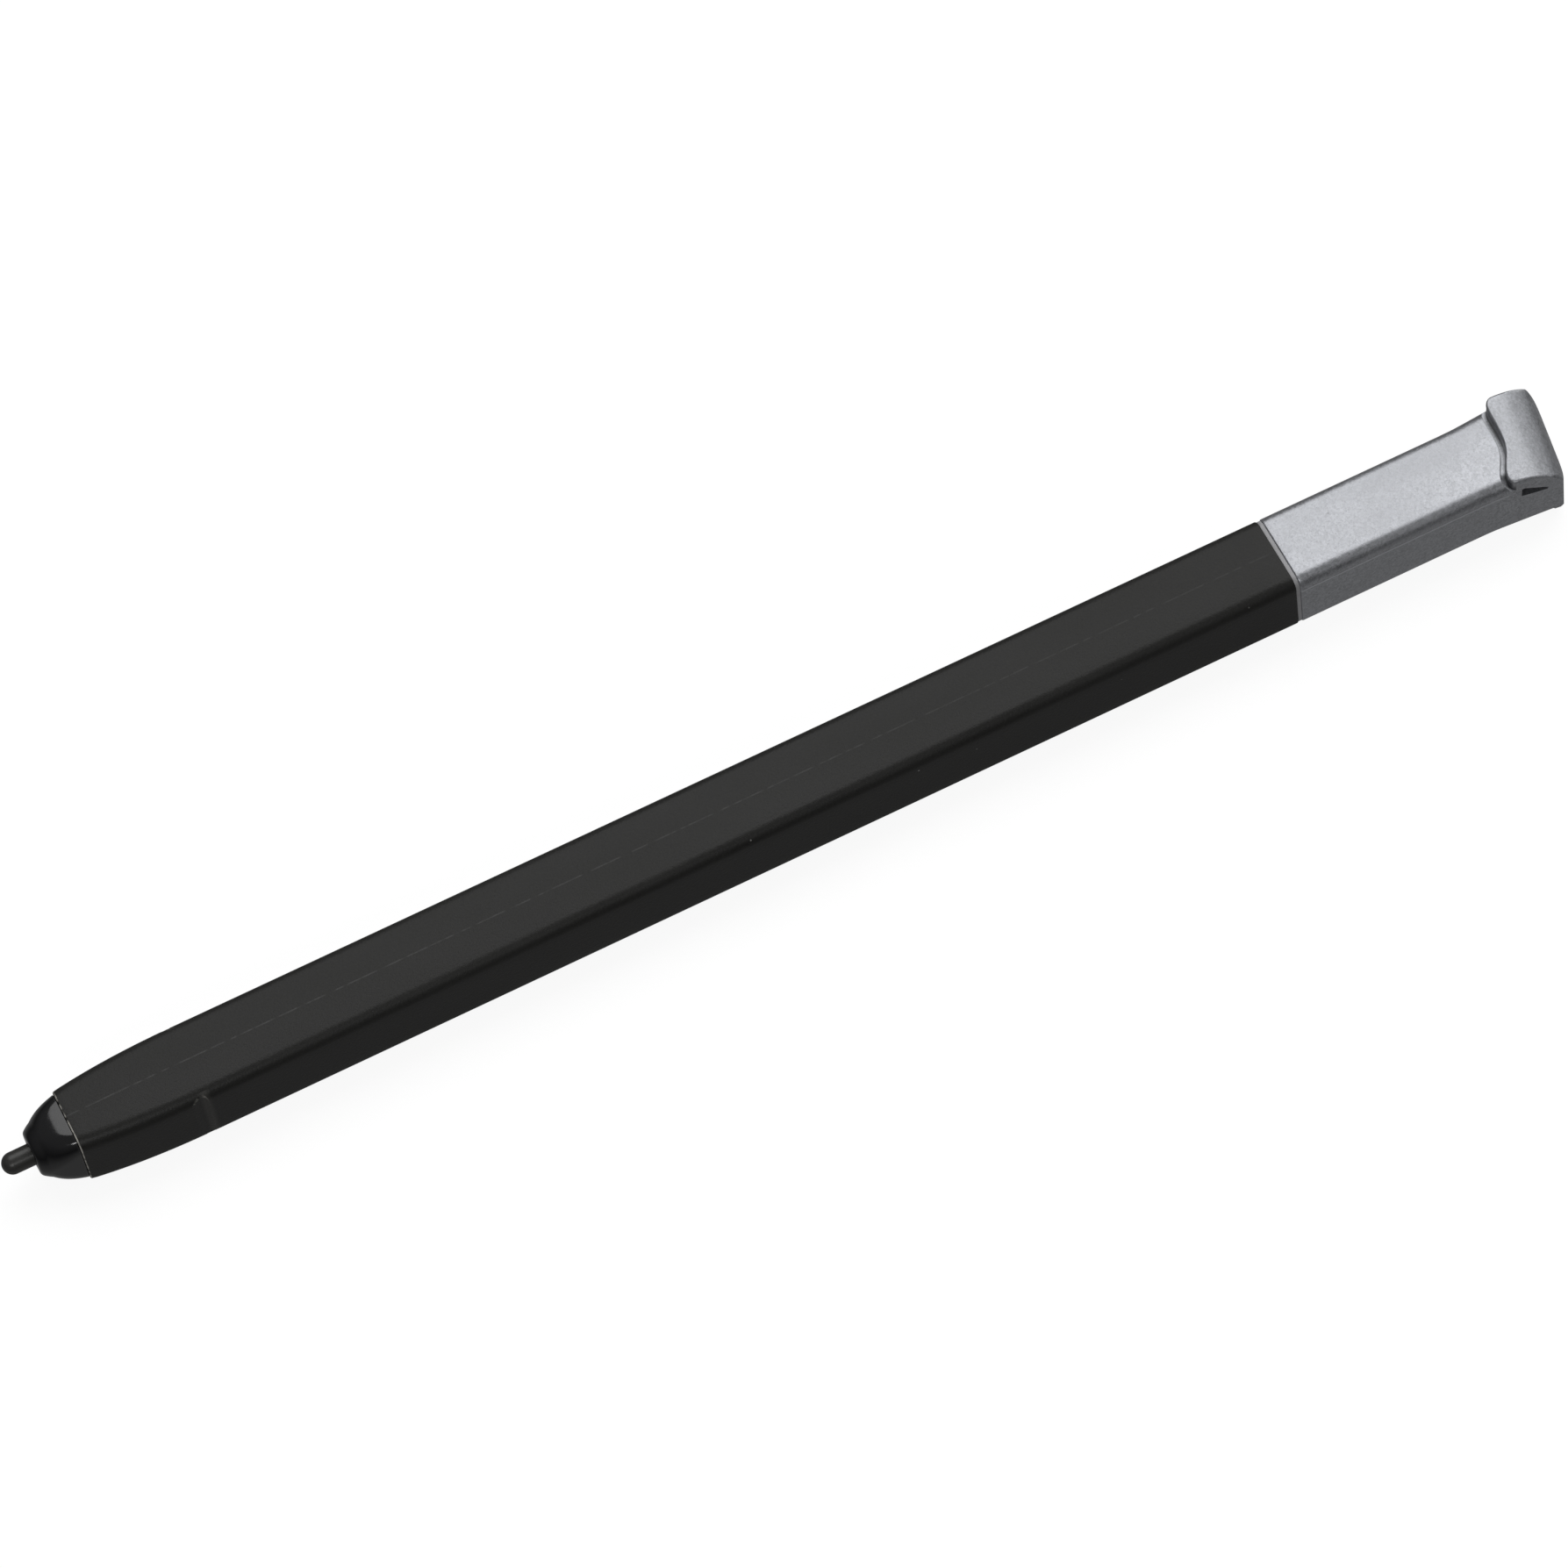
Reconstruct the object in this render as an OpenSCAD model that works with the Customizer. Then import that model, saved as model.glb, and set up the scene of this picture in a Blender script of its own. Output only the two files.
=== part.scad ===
/* [Pen] */
// Overall length, nib to tail
pen_length = 134.5; // [132:0.5:138]
// Width of the barrel across its narrow sides
pen_width = 7.1; // [7.0:0.05:7.4]
// Height of the barrel between its broad faces
pen_height = 6.36; // [6.3:0.02:6.6]
// Radius of the four long corners
corner_r = 0.96; // [0.8:0.02:1.1]
// Wall thickness of the barrel
wall = 0.6; // [0.5:0.05:0.65]

/* [Nose] */
// Diameter of the nib at its ball end
nib_d = 1.8; // [1.6:0.05:1.8]
// Length of nib that stands out of the cone
nib_reach = 2.5; // [2.2:0.1:2.8]
// Diameter of the nib's rear rod
rod_d = 1.3; // [1.2:0.05:1.3]
// Where the cone ends and the barrel starts, from the nib's point
barrel_start = 5.85; // [5.8:0.05:6]
// Width of the cone where it meets the barrel
cone_width = 5.62; // [5.4:0.02:5.7]
// Height of the cone where it meets the barrel
cone_height = 6.0; // [5.8:0.05:6.1]
// Length of the barrel's curved taper
taper_length = 10; // [9:0.5:10]
// Distance of the retaining grooves from the nib's point
groove_at = 16; // [15.8:0.1:16.5]
// Width of a retaining groove
groove_width = 1.4; // [1.2:0.1:1.6]
// Depth of a retaining groove
groove_depth = 0.14; // [0.1:0.02:0.2]

/* [Tail] */
// Length of the silver tail, from its joint to its far corner
cap_length = 24.25; // [24:0.05:26]
// Gap that shows the insert between barrel and tail
joint_gap = 0.35; // [0.2:0.05:0.4]
// How far each side flares at the end
flare = 0.5; // [0.3:0.05:0.6]
// Height of the hook above the broad face
hook_height = 1.2; // [1:0.1:1.4]
// Angle that the tail's end and hook are turned by, seen from above
tail_turn = 9; // [6:1:10]
// Angle that the hook's top falls towards the near side
tail_tilt = 6; // [4:1:8]

/* [Side button] */
// Length of the button
button_length = 12; // [10:0.5:13]
// Width of the button
button_width = 3; // [2.8:0.1:3.2]
// Centre of the button, from the nib's point
button_at = 46; // [44:0.5:48]

/* [Hidden] */
$fn = 64;

axis_z = pen_height / 2;
tip_x = -pen_length / 2;
cap_start = pen_length - cap_length;
barrel_end = cap_start - joint_gap;
eps = 0.01;

// Cavity of the barrel, and the narrower one inside its taper
cavity_w = pen_width - 2 * wall;
cavity_h = pen_height - 2 * wall;
mouth_w = 4.5;
mouth_h = 4.84;
mouth_end = 9.4;
throat_w = 5.2;
throat_end = 18;

// Front mechanism, as distances from the nib's point
cone_rear = 9.2;
core_start = 9.9;
core_end = 21.4;
core_d = 2.9;
winding_d = 3.8;
housing_start = 22;
housing_end = 34;
housing_w = 5.3;
housing_h = 4.4;
holder_start = 23.6;
holder_end = 28;
holder_d = 2.9;
spring_end = 31.2;
spring_d = 2.66;
wire_d = 0.22;
disc_t = 0.4;

// Board and switch, as heights in the pen
carrier_end = 72;
carrier_w = 5.5;
guide_w = 4.8;
board_start = 36;
board_end = 66;
board_w = 4.6;
board_t = 0.6;
board_z = 3.1;
switch_w = 3.4;
switch_l = 4.2;
plunger_d = 1.7;
plunger_low = 1.2;
plunger_top = 1.95;
switch_low = 1.6;
dome_d = 2.7;
dome_low = 2.3;
button_low = 0.05;
button_flange = 0.45;

// Moves to a distance from the nib's point, on the pen's axis
module at(x) translate([tip_x + x, 0, axis_z]) children();

// Turns an outline drawn as (width, height) to face along the pen
module along(l) rotate([90, 0, 90]) linear_extrude(l) children();

module rod(d, l, fn = 64) rotate([0, 90, 0]) cylinder(d = d, h = l, $fn = fn);

module rounded(w, h, r, fn = 64) {
    square([w - 2 * r, h], center = true);
    square([w, h - 2 * r], center = true);
    for (sx = [-1, 1], sy = [-1, 1])
        translate([sx * (w / 2 - r), sy * (h / 2 - r)]) circle(r, $fn = fn);
}

module slab(x, w, h, r, l = eps) at(x) along(l) rounded(w, h, r, 32);

function mix(a, b, t) = a + (b - a) * t;

// Barrel taper: width and height ease from the cone's size to full size
function taper(t) = 1 - pow(1 - t, 2.3);
front_w = cone_width + 0.18;
front_h = cone_height + 0.2;
front_r = 1.1;

module barrel() color([0.13, 0.13, 0.13]) difference() {
    union() {
        hull() for (i = [0 : 10]) {
            t = i / 10;
            slab(mix(barrel_start, barrel_start + taper_length, t), mix(front_w, pen_width, taper(t)),
                 mix(front_h, pen_height, taper(t)), mix(front_r, corner_r, t));
        }
        at(barrel_start + taper_length)
            along(barrel_end - barrel_start - taper_length) rounded(pen_width, pen_height, corner_r);
    }
    at(barrel_start - 1) along(mouth_end) rounded(mouth_w, mouth_h, 1);
    at(mouth_end) along(throat_end - mouth_end + 1) rounded(throat_w, cavity_h - 0.3, 0.6);
    at(throat_end) along(pen_length) rounded(cavity_w, cavity_h, 0.5);
    for (s = [-1, 1])
        at(groove_at) translate([0, s * (pen_width / 2 + groove_width - groove_depth), -pen_height])
            cylinder(r = groove_width, h = 2 * pen_height);
    translate([tip_x + button_at, 0, -1]) button_outline(0.15, 3);
}

// Cone: a circle at the end face that grows into a rounded square
function swell(t) = 0.28 * t + 0.72 * (1 - pow(1 - t, 3));
face_d = 3.53;

module nose_cone() color([0.07, 0.07, 0.08]) difference() {
    union() {
        hull() for (i = [0 : 8]) {
            t = i / 8;
            w = mix(face_d, cone_width, swell(t));
            h = mix(face_d, cone_height, swell(t));
            slab(mix(nib_reach, barrel_start - eps, t), w, h, min(w / 2 - eps, mix(2.53, 1.33, t)));
        }
        at(barrel_start - 0.5) along(cone_rear - barrel_start + 0.5) rounded(mouth_w, mouth_h, 1);
    }
    at(nib_reach - 1) rod(nib_d + 0.12, 6);
    at(nib_reach + 3) rod(nib_d + 0.3, 10);
}

nib_shoulder = 6.4;
nib_end = holder_start + 2.4;

module nib() color([0.16, 0.16, 0.16]) {
    at(0) rotate([0, 90, 0]) rotate_extrude() {
        intersection() {
            translate([0, nib_d / 2]) circle(d = nib_d);
            square([nib_d, nib_d / 2]);
        }
        translate([0, nib_d / 2]) square([nib_d / 2, nib_shoulder - nib_d / 2]);
        translate([0, nib_shoulder - eps]) square([rod_d / 2, nib_end - nib_shoulder]);
    }
}

module tail_plug() color([0.62, 0.62, 0.64]) difference() {
    union() {
        at(barrel_end - 9) along(9) rounded(cavity_w, cavity_h, 0.5);
        at(barrel_end) along(joint_gap)
            rounded(pen_width - 0.16, pen_height - 0.16, corner_r - 0.08);
        at(cap_start) along(8) rounded(cavity_w, cavity_h, 0.5);
    }
    at(barrel_end - 10) rod(3.6, 24);
}

// Tail, drawn from distances along the pen and across it, with s from -1 to 1 across
flare_start = pen_length - 7.3;
flare_turn = atan(flare / 6.2);
hook_front = pen_length - 4.35;
crest = pen_height + hook_height;
end_mid = pen_length - 0.24;
half_end = pen_width / 2 + flare;
function tanh(v) = (exp(v) - exp(-v)) / (exp(v) + exp(-v));
function end_x(s) = end_mid + tan(tail_turn) * half_end * s - 0.3 * s * s - (0.3 + 0.15 * s) * pow(s, 8);
// Front edge of the hook: an S across the pen, further forward on the near side
function lip_x(s) = hook_front - 0.82 * (1 - tanh(2.6 * (s + 0.43))) + 0.6 * pow(s, 12);

// The end of the tail seen from above, wider than the tail itself
module end_plan() {
    tail_edge = [for (i = [11 : -1 : -11]) [end_x(i / 10), i / 10 * half_end]];
    polygon(concat([[cap_start + 12, 6], [tail_edge[0][0], 6]], tail_edge,
                   [[tail_edge[22][0], -6], [cap_start + 12, -6]]));
}

// Everything behind the front edge of the hook
module lip_plan() {
    lip = [for (i = [-8 : 8]) [lip_x(i / 8), i / 8 * half_end]];
    polygon(concat([[lip[0][0] + 0.3, -6]], lip,
                   [[lip[16][0] + 0.3, 6], [pen_length + 2, 6], [pen_length + 2, -6]]));
}

// The space between the flared sides
module side_plan() {
    reach = pen_length + 1 - flare_start;
    wide = pen_width / 2 + reach * tan(flare_turn) - eps;
    polygon([[flare_start, -pen_width / 2 + eps], [flare_start + reach, -wide],
             [flare_start + reach, wide], [flare_start, pen_width / 2 - eps]]);
}

// Side outline of the hook and the end, turned so that the far side reaches further back,
// and tilted so that the near side is lower
module cap_side() translate([end_mid + tan(tail_turn) * half_end, half_end, crest])
    rotate([tail_tilt, 0, -tail_turn]) translate([0, 3, -crest])
    rotate([90, 0, 0]) linear_extrude(18) polygon([
        [-10, -3], [-2.4, -3], [-2, 0], [-1.2, 0.35], [-0.6, 0.9], [-0.2, 1.8], [0, 2.8], [0, 3.9],
        [-0.2, 4.8], [-0.55, 5.5], [-1.1, 6.1], [-1.8, 6.6], [-2.8, 7.15], [-3.6, crest - 0.08],
        [-4.1, crest], [-10, crest]
    ]);

module slot_side() polygon([
    [pen_length - 4.9, 4.4], [pen_length - 4.85, 5.25], [pen_length - 4.65, 5.25],
    [pen_length - 2.7, 4.15], [pen_length - 2.8, 4]
]);

// The rounded section carried on to the end, and turned a little to each side for the flare
module cap_block() intersection() {
    union() {
        at(flare_start - 2) along(12) rounded(pen_width, pen_height, corner_r);
        for (s = [-1, 1]) at(flare_start) rotate(s * flare_turn) translate([0, -s * eps, 0])
            along(9) rounded(pen_width, pen_height, corner_r);
        translate([tip_x, 0, 2]) linear_extrude(7) intersection() {
            lip_plan();
            side_plan();
        }
    }
    translate([tip_x, 0, -1]) linear_extrude(10) end_plan();
    translate([tip_x, 0, 0]) cap_side();
}

module tail_cap() color([0.74, 0.74, 0.76]) difference() {
    union() {
        at(cap_start) along(flare_start - 1 - cap_start) rounded(pen_width, pen_height, corner_r);
        cap_block();
    }
    at(cap_start - 1) along(9.1) rounded(cavity_w, cavity_h, 0.5);
    translate([tip_x, 9, 0]) rotate([90, 0, 0]) linear_extrude(18) slot_side();
    // Narrow gully in front of the hook
    translate([tip_x, 0, pen_height - 0.4]) linear_extrude(0.5) difference() {
        translate([-0.45, 0]) lip_plan();
        lip_plan();
    }
}

module cushion_ring() color([0.25, 0.25, 0.25]) at(cone_rear)
    difference() {
        rod(3.8, core_start - cone_rear);
        translate([-1, 0, 0]) rod(nib_d + 0.3, 3);
    }

module ferrite_core() color([0.3, 0.3, 0.32]) at(core_start)
    difference() {
        rod(core_d, core_end - core_start);
        translate([-1, 0, 0]) rod(rod_d + 0.3, core_end);
    }

module induction_coil() color([0.72, 0.38, 0.16]) at(core_start + 1.2)
    difference() {
        rod(winding_d, 8.6);
        translate([-1, 0, 0]) rod(core_d, 12);
    }

lead_y = 2;
lead_z = 1.75;
lead_d = 0.24;
lead_start = core_start + 10.5;
lead_end = board_start + 2.6;
module coil_leads() color([0.78, 0.42, 0.18]) for (s = [-1, 1]) {
    hull() {
        at(lead_start) translate([0, s * lead_y, lead_z]) sphere(d = lead_d, $fn = 16);
        at(core_start + 9.94) translate([0, s * 1.3, 1]) sphere(d = lead_d, $fn = 16);
    }
    at(lead_start) translate([0, s * lead_y, lead_z]) rod(lead_d, lead_end - lead_start, 16);
    translate([tip_x + lead_end - lead_d / 2, s * lead_y, board_z + board_t])
        cylinder(d = lead_d, h = axis_z + lead_z - board_z - board_t, $fn = 16);
}

module sensor_housing() color([0.86, 0.84, 0.78]) difference() {
    at(housing_start) along(housing_end - housing_start) rounded(housing_w, housing_h, 0.6);
    at(housing_start - 1) rod(rod_d + 0.3, 8);
    at(housing_start + 0.9) rod(holder_d + 0.14, spring_end - housing_start - 0.9);
    at(spring_end) rod(3.3, disc_t);
    at(spring_end + disc_t) rod(2.8, 6);
    // Shallow channels for the coil leads
    for (s = [-1, 1]) at(housing_start - 1) translate([0, s * (lead_y + 0.25), lead_z - 0.22])
        translate([0, -0.45, 0]) cube([20, 0.9, 1]);
}

module nib_holder() color([0.9, 0.9, 0.88]) at(holder_start) difference() {
    union() {
        rod(holder_d, holder_end - holder_start - 0.6);
        rod(2.5, holder_end - holder_start);
    }
    translate([-1, 0, 0]) rod(rod_d + 0.06, 3.6);
}

module pressure_rubber() color([0.1, 0.1, 0.1]) at(holder_end) rotate([0, 90, 0])
    rotate_extrude() {
        square([0.95, spring_end - holder_end - 1]);
        intersection() {
            translate([0, spring_end - holder_end - 1.35]) circle(0.95);
            square([1, spring_end - holder_end - 0.4]);
        }
    }

// Spring wire: rings of points carried along a helix
spring_turns = 5;
spring_steps = 20;
wire_sides = 8;
module helix(x0, x1, r, wire_r, turns) {
    count = turns * spring_steps;
    rings = [for (i = [0 : count], k = [0 : wire_sides - 1])
        let (a = 360 * i / spring_steps, b = 360 * k / wire_sides, q = r + wire_r * cos(b))
        [mix(x0, x1, i / count) + wire_r * sin(b), q * cos(a), q * sin(a)]];
    walls = [for (i = [0 : count - 1], k = [0 : wire_sides - 1])
        let (n = (k + 1) % wire_sides, p = i * wire_sides)
        [p + k, p + n, p + wire_sides + n, p + wire_sides + k]];
    first = [for (k = [wire_sides - 1 : -1 : 0]) k];
    last = [for (k = [0 : wire_sides - 1]) count * wire_sides + k];
    polyhedron(rings, concat(walls, [first, last]));
}

module return_spring() color([0.7, 0.7, 0.72]) at(0)
    helix(holder_end + wire_d / 2 + 0.02, spring_end - wire_d / 2 - 0.02,
          spring_d / 2 - wire_d / 2, wire_d / 2, spring_turns);

module dielectric_disc() color([0.85, 0.8, 0.62]) at(spring_end) rod(3.3, disc_t);

module terminal_plate() color([0.8, 0.66, 0.34]) {
    at(spring_end + disc_t) rod(2.8, 0.25);
    at(spring_end + disc_t) translate([0, -0.5, board_z + board_t - axis_z])
        cube([board_start + 1.4 - spring_end - disc_t, 1, 0.2]);
}

module board_carrier() color([0.2, 0.2, 0.22]) difference() {
    at(housing_end) along(carrier_end - housing_end) rounded(carrier_w, cavity_h - 0.1, 0.5);
    // Open top over the board, and the slot that the board lies in
    at(housing_end + 1) translate([0, -board_w / 2 + 0.3, board_z + board_t - axis_z])
        cube([carrier_end - housing_end - 2, board_w - 0.6, 4]);
    at(board_start - 0.05) translate([0, -board_w / 2 - 0.05, board_z - axis_z])
        cube([board_end - board_start + 0.1, board_w + 0.1, 4]);
    at(housing_end - 1) translate([0, -0.8, board_z + board_t - 0.1 - axis_z]) cube([4, 1.6, 0.5]);
    at(housing_end - 1) for (s = [-1, 1]) translate([0, s * lead_y - 0.3, 0.9]) cube([6.2, 0.6, 3]);
    // Well for the switch, the button and its guide
    at(button_at) translate([-button_length / 2 - 1.6, -carrier_w, -4])
        cube([button_length + 3.2, 2 * carrier_w, 4 + board_z - axis_z]);
}

module circuit_board() color([0.1, 0.35, 0.2]) at(board_start)
    translate([0, -board_w / 2, board_z - axis_z]) cube([board_end - board_start, board_w, board_t]);

chips = [for (i = [0 : 6]) 40.2 + i * 2.1];
module chip_capacitors() color([0.72, 0.6, 0.42])
    for (x = chips, s = [-1, 1]) at(x)
        translate([0, s * 1.1 - 0.4, board_z + board_t - axis_z]) cube([1.5, 0.8, 0.7]);

module trimmer() color([0.85, 0.85, 0.8]) at(59) translate([0, 0, board_z + board_t - axis_z])
    difference() {
        union() {
            translate([-1.9, -1.6, 0]) cube([3.8, 3.2, 0.9]);
            cylinder(d = 2.6, h = 1.3);
        }
        translate([-1, -0.18, 1]) cube([2, 0.36, 1]);
    }

module switch_base() color([0.16, 0.16, 0.18]) difference() {
    translate([tip_x + button_at - switch_l / 2, -switch_w / 2, switch_low])
        cube([switch_l, switch_w, board_z - switch_low]);
    translate([tip_x + button_at, 0, 0]) cylinder(d = plunger_d + 0.12, h = 2.6);
    translate([tip_x + button_at, 0, dome_low]) cylinder(d = dome_d + 0.1, h = 0.5);
}

module switch_dome() color([0.82, 0.83, 0.85])
    translate([tip_x + button_at, 0, dome_low]) rotate_extrude() {
        translate([0, 0.25]) square([0.8, 0.1]);
        translate([0.8, 0.12]) square([0.3, 0.23]);
        translate([1.1, 0]) square([dome_d / 2 - 1.1, 0.2]);
    }

module switch_plunger() color([0.85, 0.3, 0.2])
    translate([tip_x + button_at, 0, plunger_low]) cylinder(d = plunger_d, h = plunger_top - plunger_low);

// A slot-shaped outline with round ends, standing on the XY plane
module button_outline(grow, h) linear_extrude(h) {
    square([button_length - button_width, button_width + 2 * grow], center = true);
    for (s = [-1, 1]) translate([s * (button_length - button_width) / 2, 0])
        circle(d = button_width + 2 * grow);
}

module side_button() color([0.1, 0.1, 0.1]) translate([tip_x + button_at, 0, 0]) {
    translate([0, 0, button_low]) button_outline(0, plunger_low - 0.35);
    translate([0, 0, wall + 0.1]) button_outline(0.45, button_flange);
    translate([0, 0, plunger_low - 0.4]) cylinder(d = 2.4, h = 0.4);
}

module button_guide() color([0.2, 0.2, 0.22]) translate([tip_x + button_at, 0, wall])
    difference() {
        translate([-button_length / 2 - 1.4, -guide_w / 2, 0])
            cube([button_length + 2.8, guide_w, 0.9]);
        translate([0, 0, -1]) button_outline(0.6, 3);
    }

module rear_spacer() color([0.24, 0.24, 0.26]) difference() {
    at(carrier_end) along(barrel_end - 9 - carrier_end) rounded(carrier_w, cavity_h - 0.1, 0.5);
    at(carrier_end - 1) rod(3.6, 40);
}

barrel();
nose_cone();
nib();
tail_plug();
tail_cap();
cushion_ring();
ferrite_core();
induction_coil();
coil_leads();
sensor_housing();
nib_holder();
pressure_rubber();
return_spring();
dielectric_disc();
terminal_plate();
board_carrier();
circuit_board();
chip_capacitors();
trimmer();
switch_base();
switch_dome();
switch_plunger();
side_button();
button_guide();
rear_spacer();
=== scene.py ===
from math import pi, radians, tan

import bpy
import numpy as np
from bpy.props import FloatProperty, FloatVectorProperty, IntProperty, PointerProperty
from mathutils import Matrix, Vector


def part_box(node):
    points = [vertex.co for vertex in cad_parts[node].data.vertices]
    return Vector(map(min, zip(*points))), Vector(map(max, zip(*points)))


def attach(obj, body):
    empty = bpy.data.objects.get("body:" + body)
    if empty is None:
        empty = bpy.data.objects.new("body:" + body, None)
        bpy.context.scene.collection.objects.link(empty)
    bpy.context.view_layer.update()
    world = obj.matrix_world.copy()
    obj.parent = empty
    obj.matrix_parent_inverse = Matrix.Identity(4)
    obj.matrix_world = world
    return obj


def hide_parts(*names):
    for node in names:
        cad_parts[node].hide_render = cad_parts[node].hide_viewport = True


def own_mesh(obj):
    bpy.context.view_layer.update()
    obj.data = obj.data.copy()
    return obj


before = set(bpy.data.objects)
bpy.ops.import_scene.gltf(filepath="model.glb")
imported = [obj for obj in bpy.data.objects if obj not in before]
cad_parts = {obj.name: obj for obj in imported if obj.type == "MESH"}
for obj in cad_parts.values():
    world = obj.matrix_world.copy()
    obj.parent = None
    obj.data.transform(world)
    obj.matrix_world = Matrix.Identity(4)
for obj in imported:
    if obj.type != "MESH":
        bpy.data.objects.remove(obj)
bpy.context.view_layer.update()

bl_info = {
    "name": "Stylus Pen Pieces",
    "version": (1, 0, 0),
    "blender": (4, 5, 0),
    "location": "3D View > Sidebar > Stylus",
    "description": "Builds the finished pieces of a tablet stylus pen around its packed frame",
    "category": "Add Mesh",
}

MM = 0.001


def span(node):
    """Lowest and highest corner of a frame node, as arrays."""
    return np.array(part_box(node), float)


def along(node):
    """Where a frame node starts and ends along the pen, from the nib's point."""
    return span(node)[:, 0] - TIP


# The shared frame: the nib's point, the pen's axis and the places that pieces start from
TIP = span("nib")[0, 0]
PEN_W, PEN_H = np.ptp(span("barrel"), axis=0)[1:]
AXIS_Z = PEN_H / 2
BARREL_START, BARREL_END = along("barrel")
CAP_START, PEN_END = along("tail_cap")
CREST = span("tail_cap")[1, 2] - AXIS_Z
HALF_END = np.ptp(span("tail_cap"), axis=0)[1] / 2
BUTTON_X = along("side_button").mean()


# ---------------------------------------------------------------------------------------
# Sizes and colours
# ---------------------------------------------------------------------------------------

def length(name, description, default, low, high):
    """A length property whose values are given in millimetres."""
    return FloatProperty(name=name, description=description, default=default * MM,
                         min=low * MM, max=high * MM, unit="LENGTH", precision=5)


def colour(name, description, default):
    """A colour property."""
    return FloatVectorProperty(name=name, description=description, default=default,
                               subtype="COLOR", min=0, max=1, size=3)


class StylusSizes(bpy.types.PropertyGroup):
    """Sizes of the visible shapes."""

    corner: length("Corner radius", "Radius of the four long corners", 0.96, 0.5, 1.5)
    rim: length("Rim radius", "Rounding of the tube ends at the joints", 0.12, 0.02, 0.2)
    taper: length("Taper length", "Length of the barrel's curved front", 10, 6, 14)
    groove_at: length("Groove distance", "Side grooves, from the nib's point", 16, 12, 24)
    groove_depth: length("Groove depth", "Depth of the side grooves", 0.22, 0.05, 0.3)
    hook_edge: length("Hook edge", "Rounding of the hook's top edges", 0.22, 0.1, 0.8)
    gully: length("Gully depth", "Depth of the channel in front of the hook", 0.4, 0.1, 0.6)
    dish: length("Button dish", "How far the button's face is hollowed", 0.12, 0, 0.3)
    turns: IntProperty(name="Winding turns", description="Turns of wire in the outer layer",
                       default=56, min=10, max=90)


class StylusColours(bpy.types.PropertyGroup):
    """Colours of the finishes."""

    barrel: colour("Barrel", "Matt black of the barrel", (0.0235, 0.0233, 0.022))
    gloss: colour("Nose cone", "Gloss black of cone and button", (0.01, 0.01, 0.011))
    nib: colour("Nib", "Dark grey of the nib", (0.045, 0.045, 0.042))
    silver: colour("Silver paint", "Metallic paint of the tail", (0.42, 0.43, 0.455))
    insert: colour("Insert", "Pale plastic that shows in the tail joint", (0.4, 0.4, 0.41))
    rubber: colour("Rubber", "Cushion ring and pressure rubber", (0.02, 0.02, 0.02))
    ferrite: colour("Ferrite", "Core of the coil", (0.06, 0.06, 0.065))
    copper: colour("Copper wire", "Varnished copper of coil and leads", (0.7, 0.29, 0.11))
    ivory: colour("Ivory plastic", "Sensor housing", (0.72, 0.68, 0.55))
    white: colour("White plastic", "Nib holder and trimmer", (0.78, 0.78, 0.75))
    steel: colour("Spring steel", "Return spring and switch dome", (0.55, 0.55, 0.56))
    ceramic: colour("Ceramic", "Dielectric disc and capacitors", (0.55, 0.42, 0.26))
    brass: colour("Contact brass", "Terminal plate", (0.75, 0.55, 0.25))
    inner: colour("Inner plastic", "Carrier, guide and spacer", (0.035, 0.035, 0.04))
    board: colour("Board", "Solder mask of the circuit board", (0.015, 0.13, 0.06))
    plunger: colour("Plunger", "Switch plunger", (0.55, 0.08, 0.04))


class StylusStage(bpy.types.PropertyGroup):
    """Camera and light."""

    azimuth: FloatProperty(
        name="Azimuth", description="Camera direction round the pen; 0 looks along +Y",
        default=radians(-16.8), subtype="ANGLE")
    elevation: FloatProperty(
        name="Elevation", description="Camera height above the floor, as an angle",
        default=radians(59.78), subtype="ANGLE")
    roll: FloatProperty(
        name="Roll", description="Turn of the camera about its own view line",
        default=radians(-10.41), subtype="ANGLE")
    distance: length("Distance", "From the camera to the point it looks at", 636, 200, 3000)
    lens: FloatProperty(
        name="Lens", description="Focal length of the camera in millimetres",
        default=187.6, min=50, max=300)
    floor: colour("Floor", "Colour of the plain floor", (0.86, 0.86, 0.86))
    sky: FloatProperty(
        name="Sky", description="Strength of the even light from all round",
        default=0.18, min=0, max=3)


# ---------------------------------------------------------------------------------------
# Surfaces, in the pen's own directions: along it from the nib's point, across, and up from
# its axis
# ---------------------------------------------------------------------------------------

def ramp(low, high, value):
    """0 below low, 1 above high, and 3t^2 - 2t^3 between them."""
    t = np.clip((np.asarray(value, float) - low) / (high - low), 0, 1)
    return t * t * (3 - 2 * t)


def mix(a, b, t):
    """A straight blend from a to b."""
    return a + (b - a) * t


def ring_pattern(corner_steps=9, flat_steps=6):
    """Multipliers of the points around a rounded rectangle.

    A point is (a (w/2 - r) + c r, b (h/2 - r) + s r). Round a corner a and b are signs and
    (c, s) is the direction at each angle; along a flat a or b runs evenly between two signs.
    """
    signs = np.array([(1, 1), (-1, 1), (-1, -1), (1, -1)], float)
    parts = []
    for k, sign in enumerate(signs):
        turn = signs[(k + 1) % 4] - sign
        angle = pi / 2 * (k + np.linspace(0, 1, corner_steps + 1))
        t = np.linspace(0, 1, flat_steps + 1)[1:-1]
        end = angle[-1] + 0 * t
        parts.append(np.stack([sign[0] + 0 * angle, sign[1] + 0 * angle,
                               np.cos(angle), np.sin(angle)]))
        parts.append(np.stack([sign[0] + turn[0] * t, sign[1] + turn[1] * t,
                               np.cos(end), np.sin(end)]))
    return np.concatenate(parts, axis=1)


PATTERN = ring_pattern()


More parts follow.
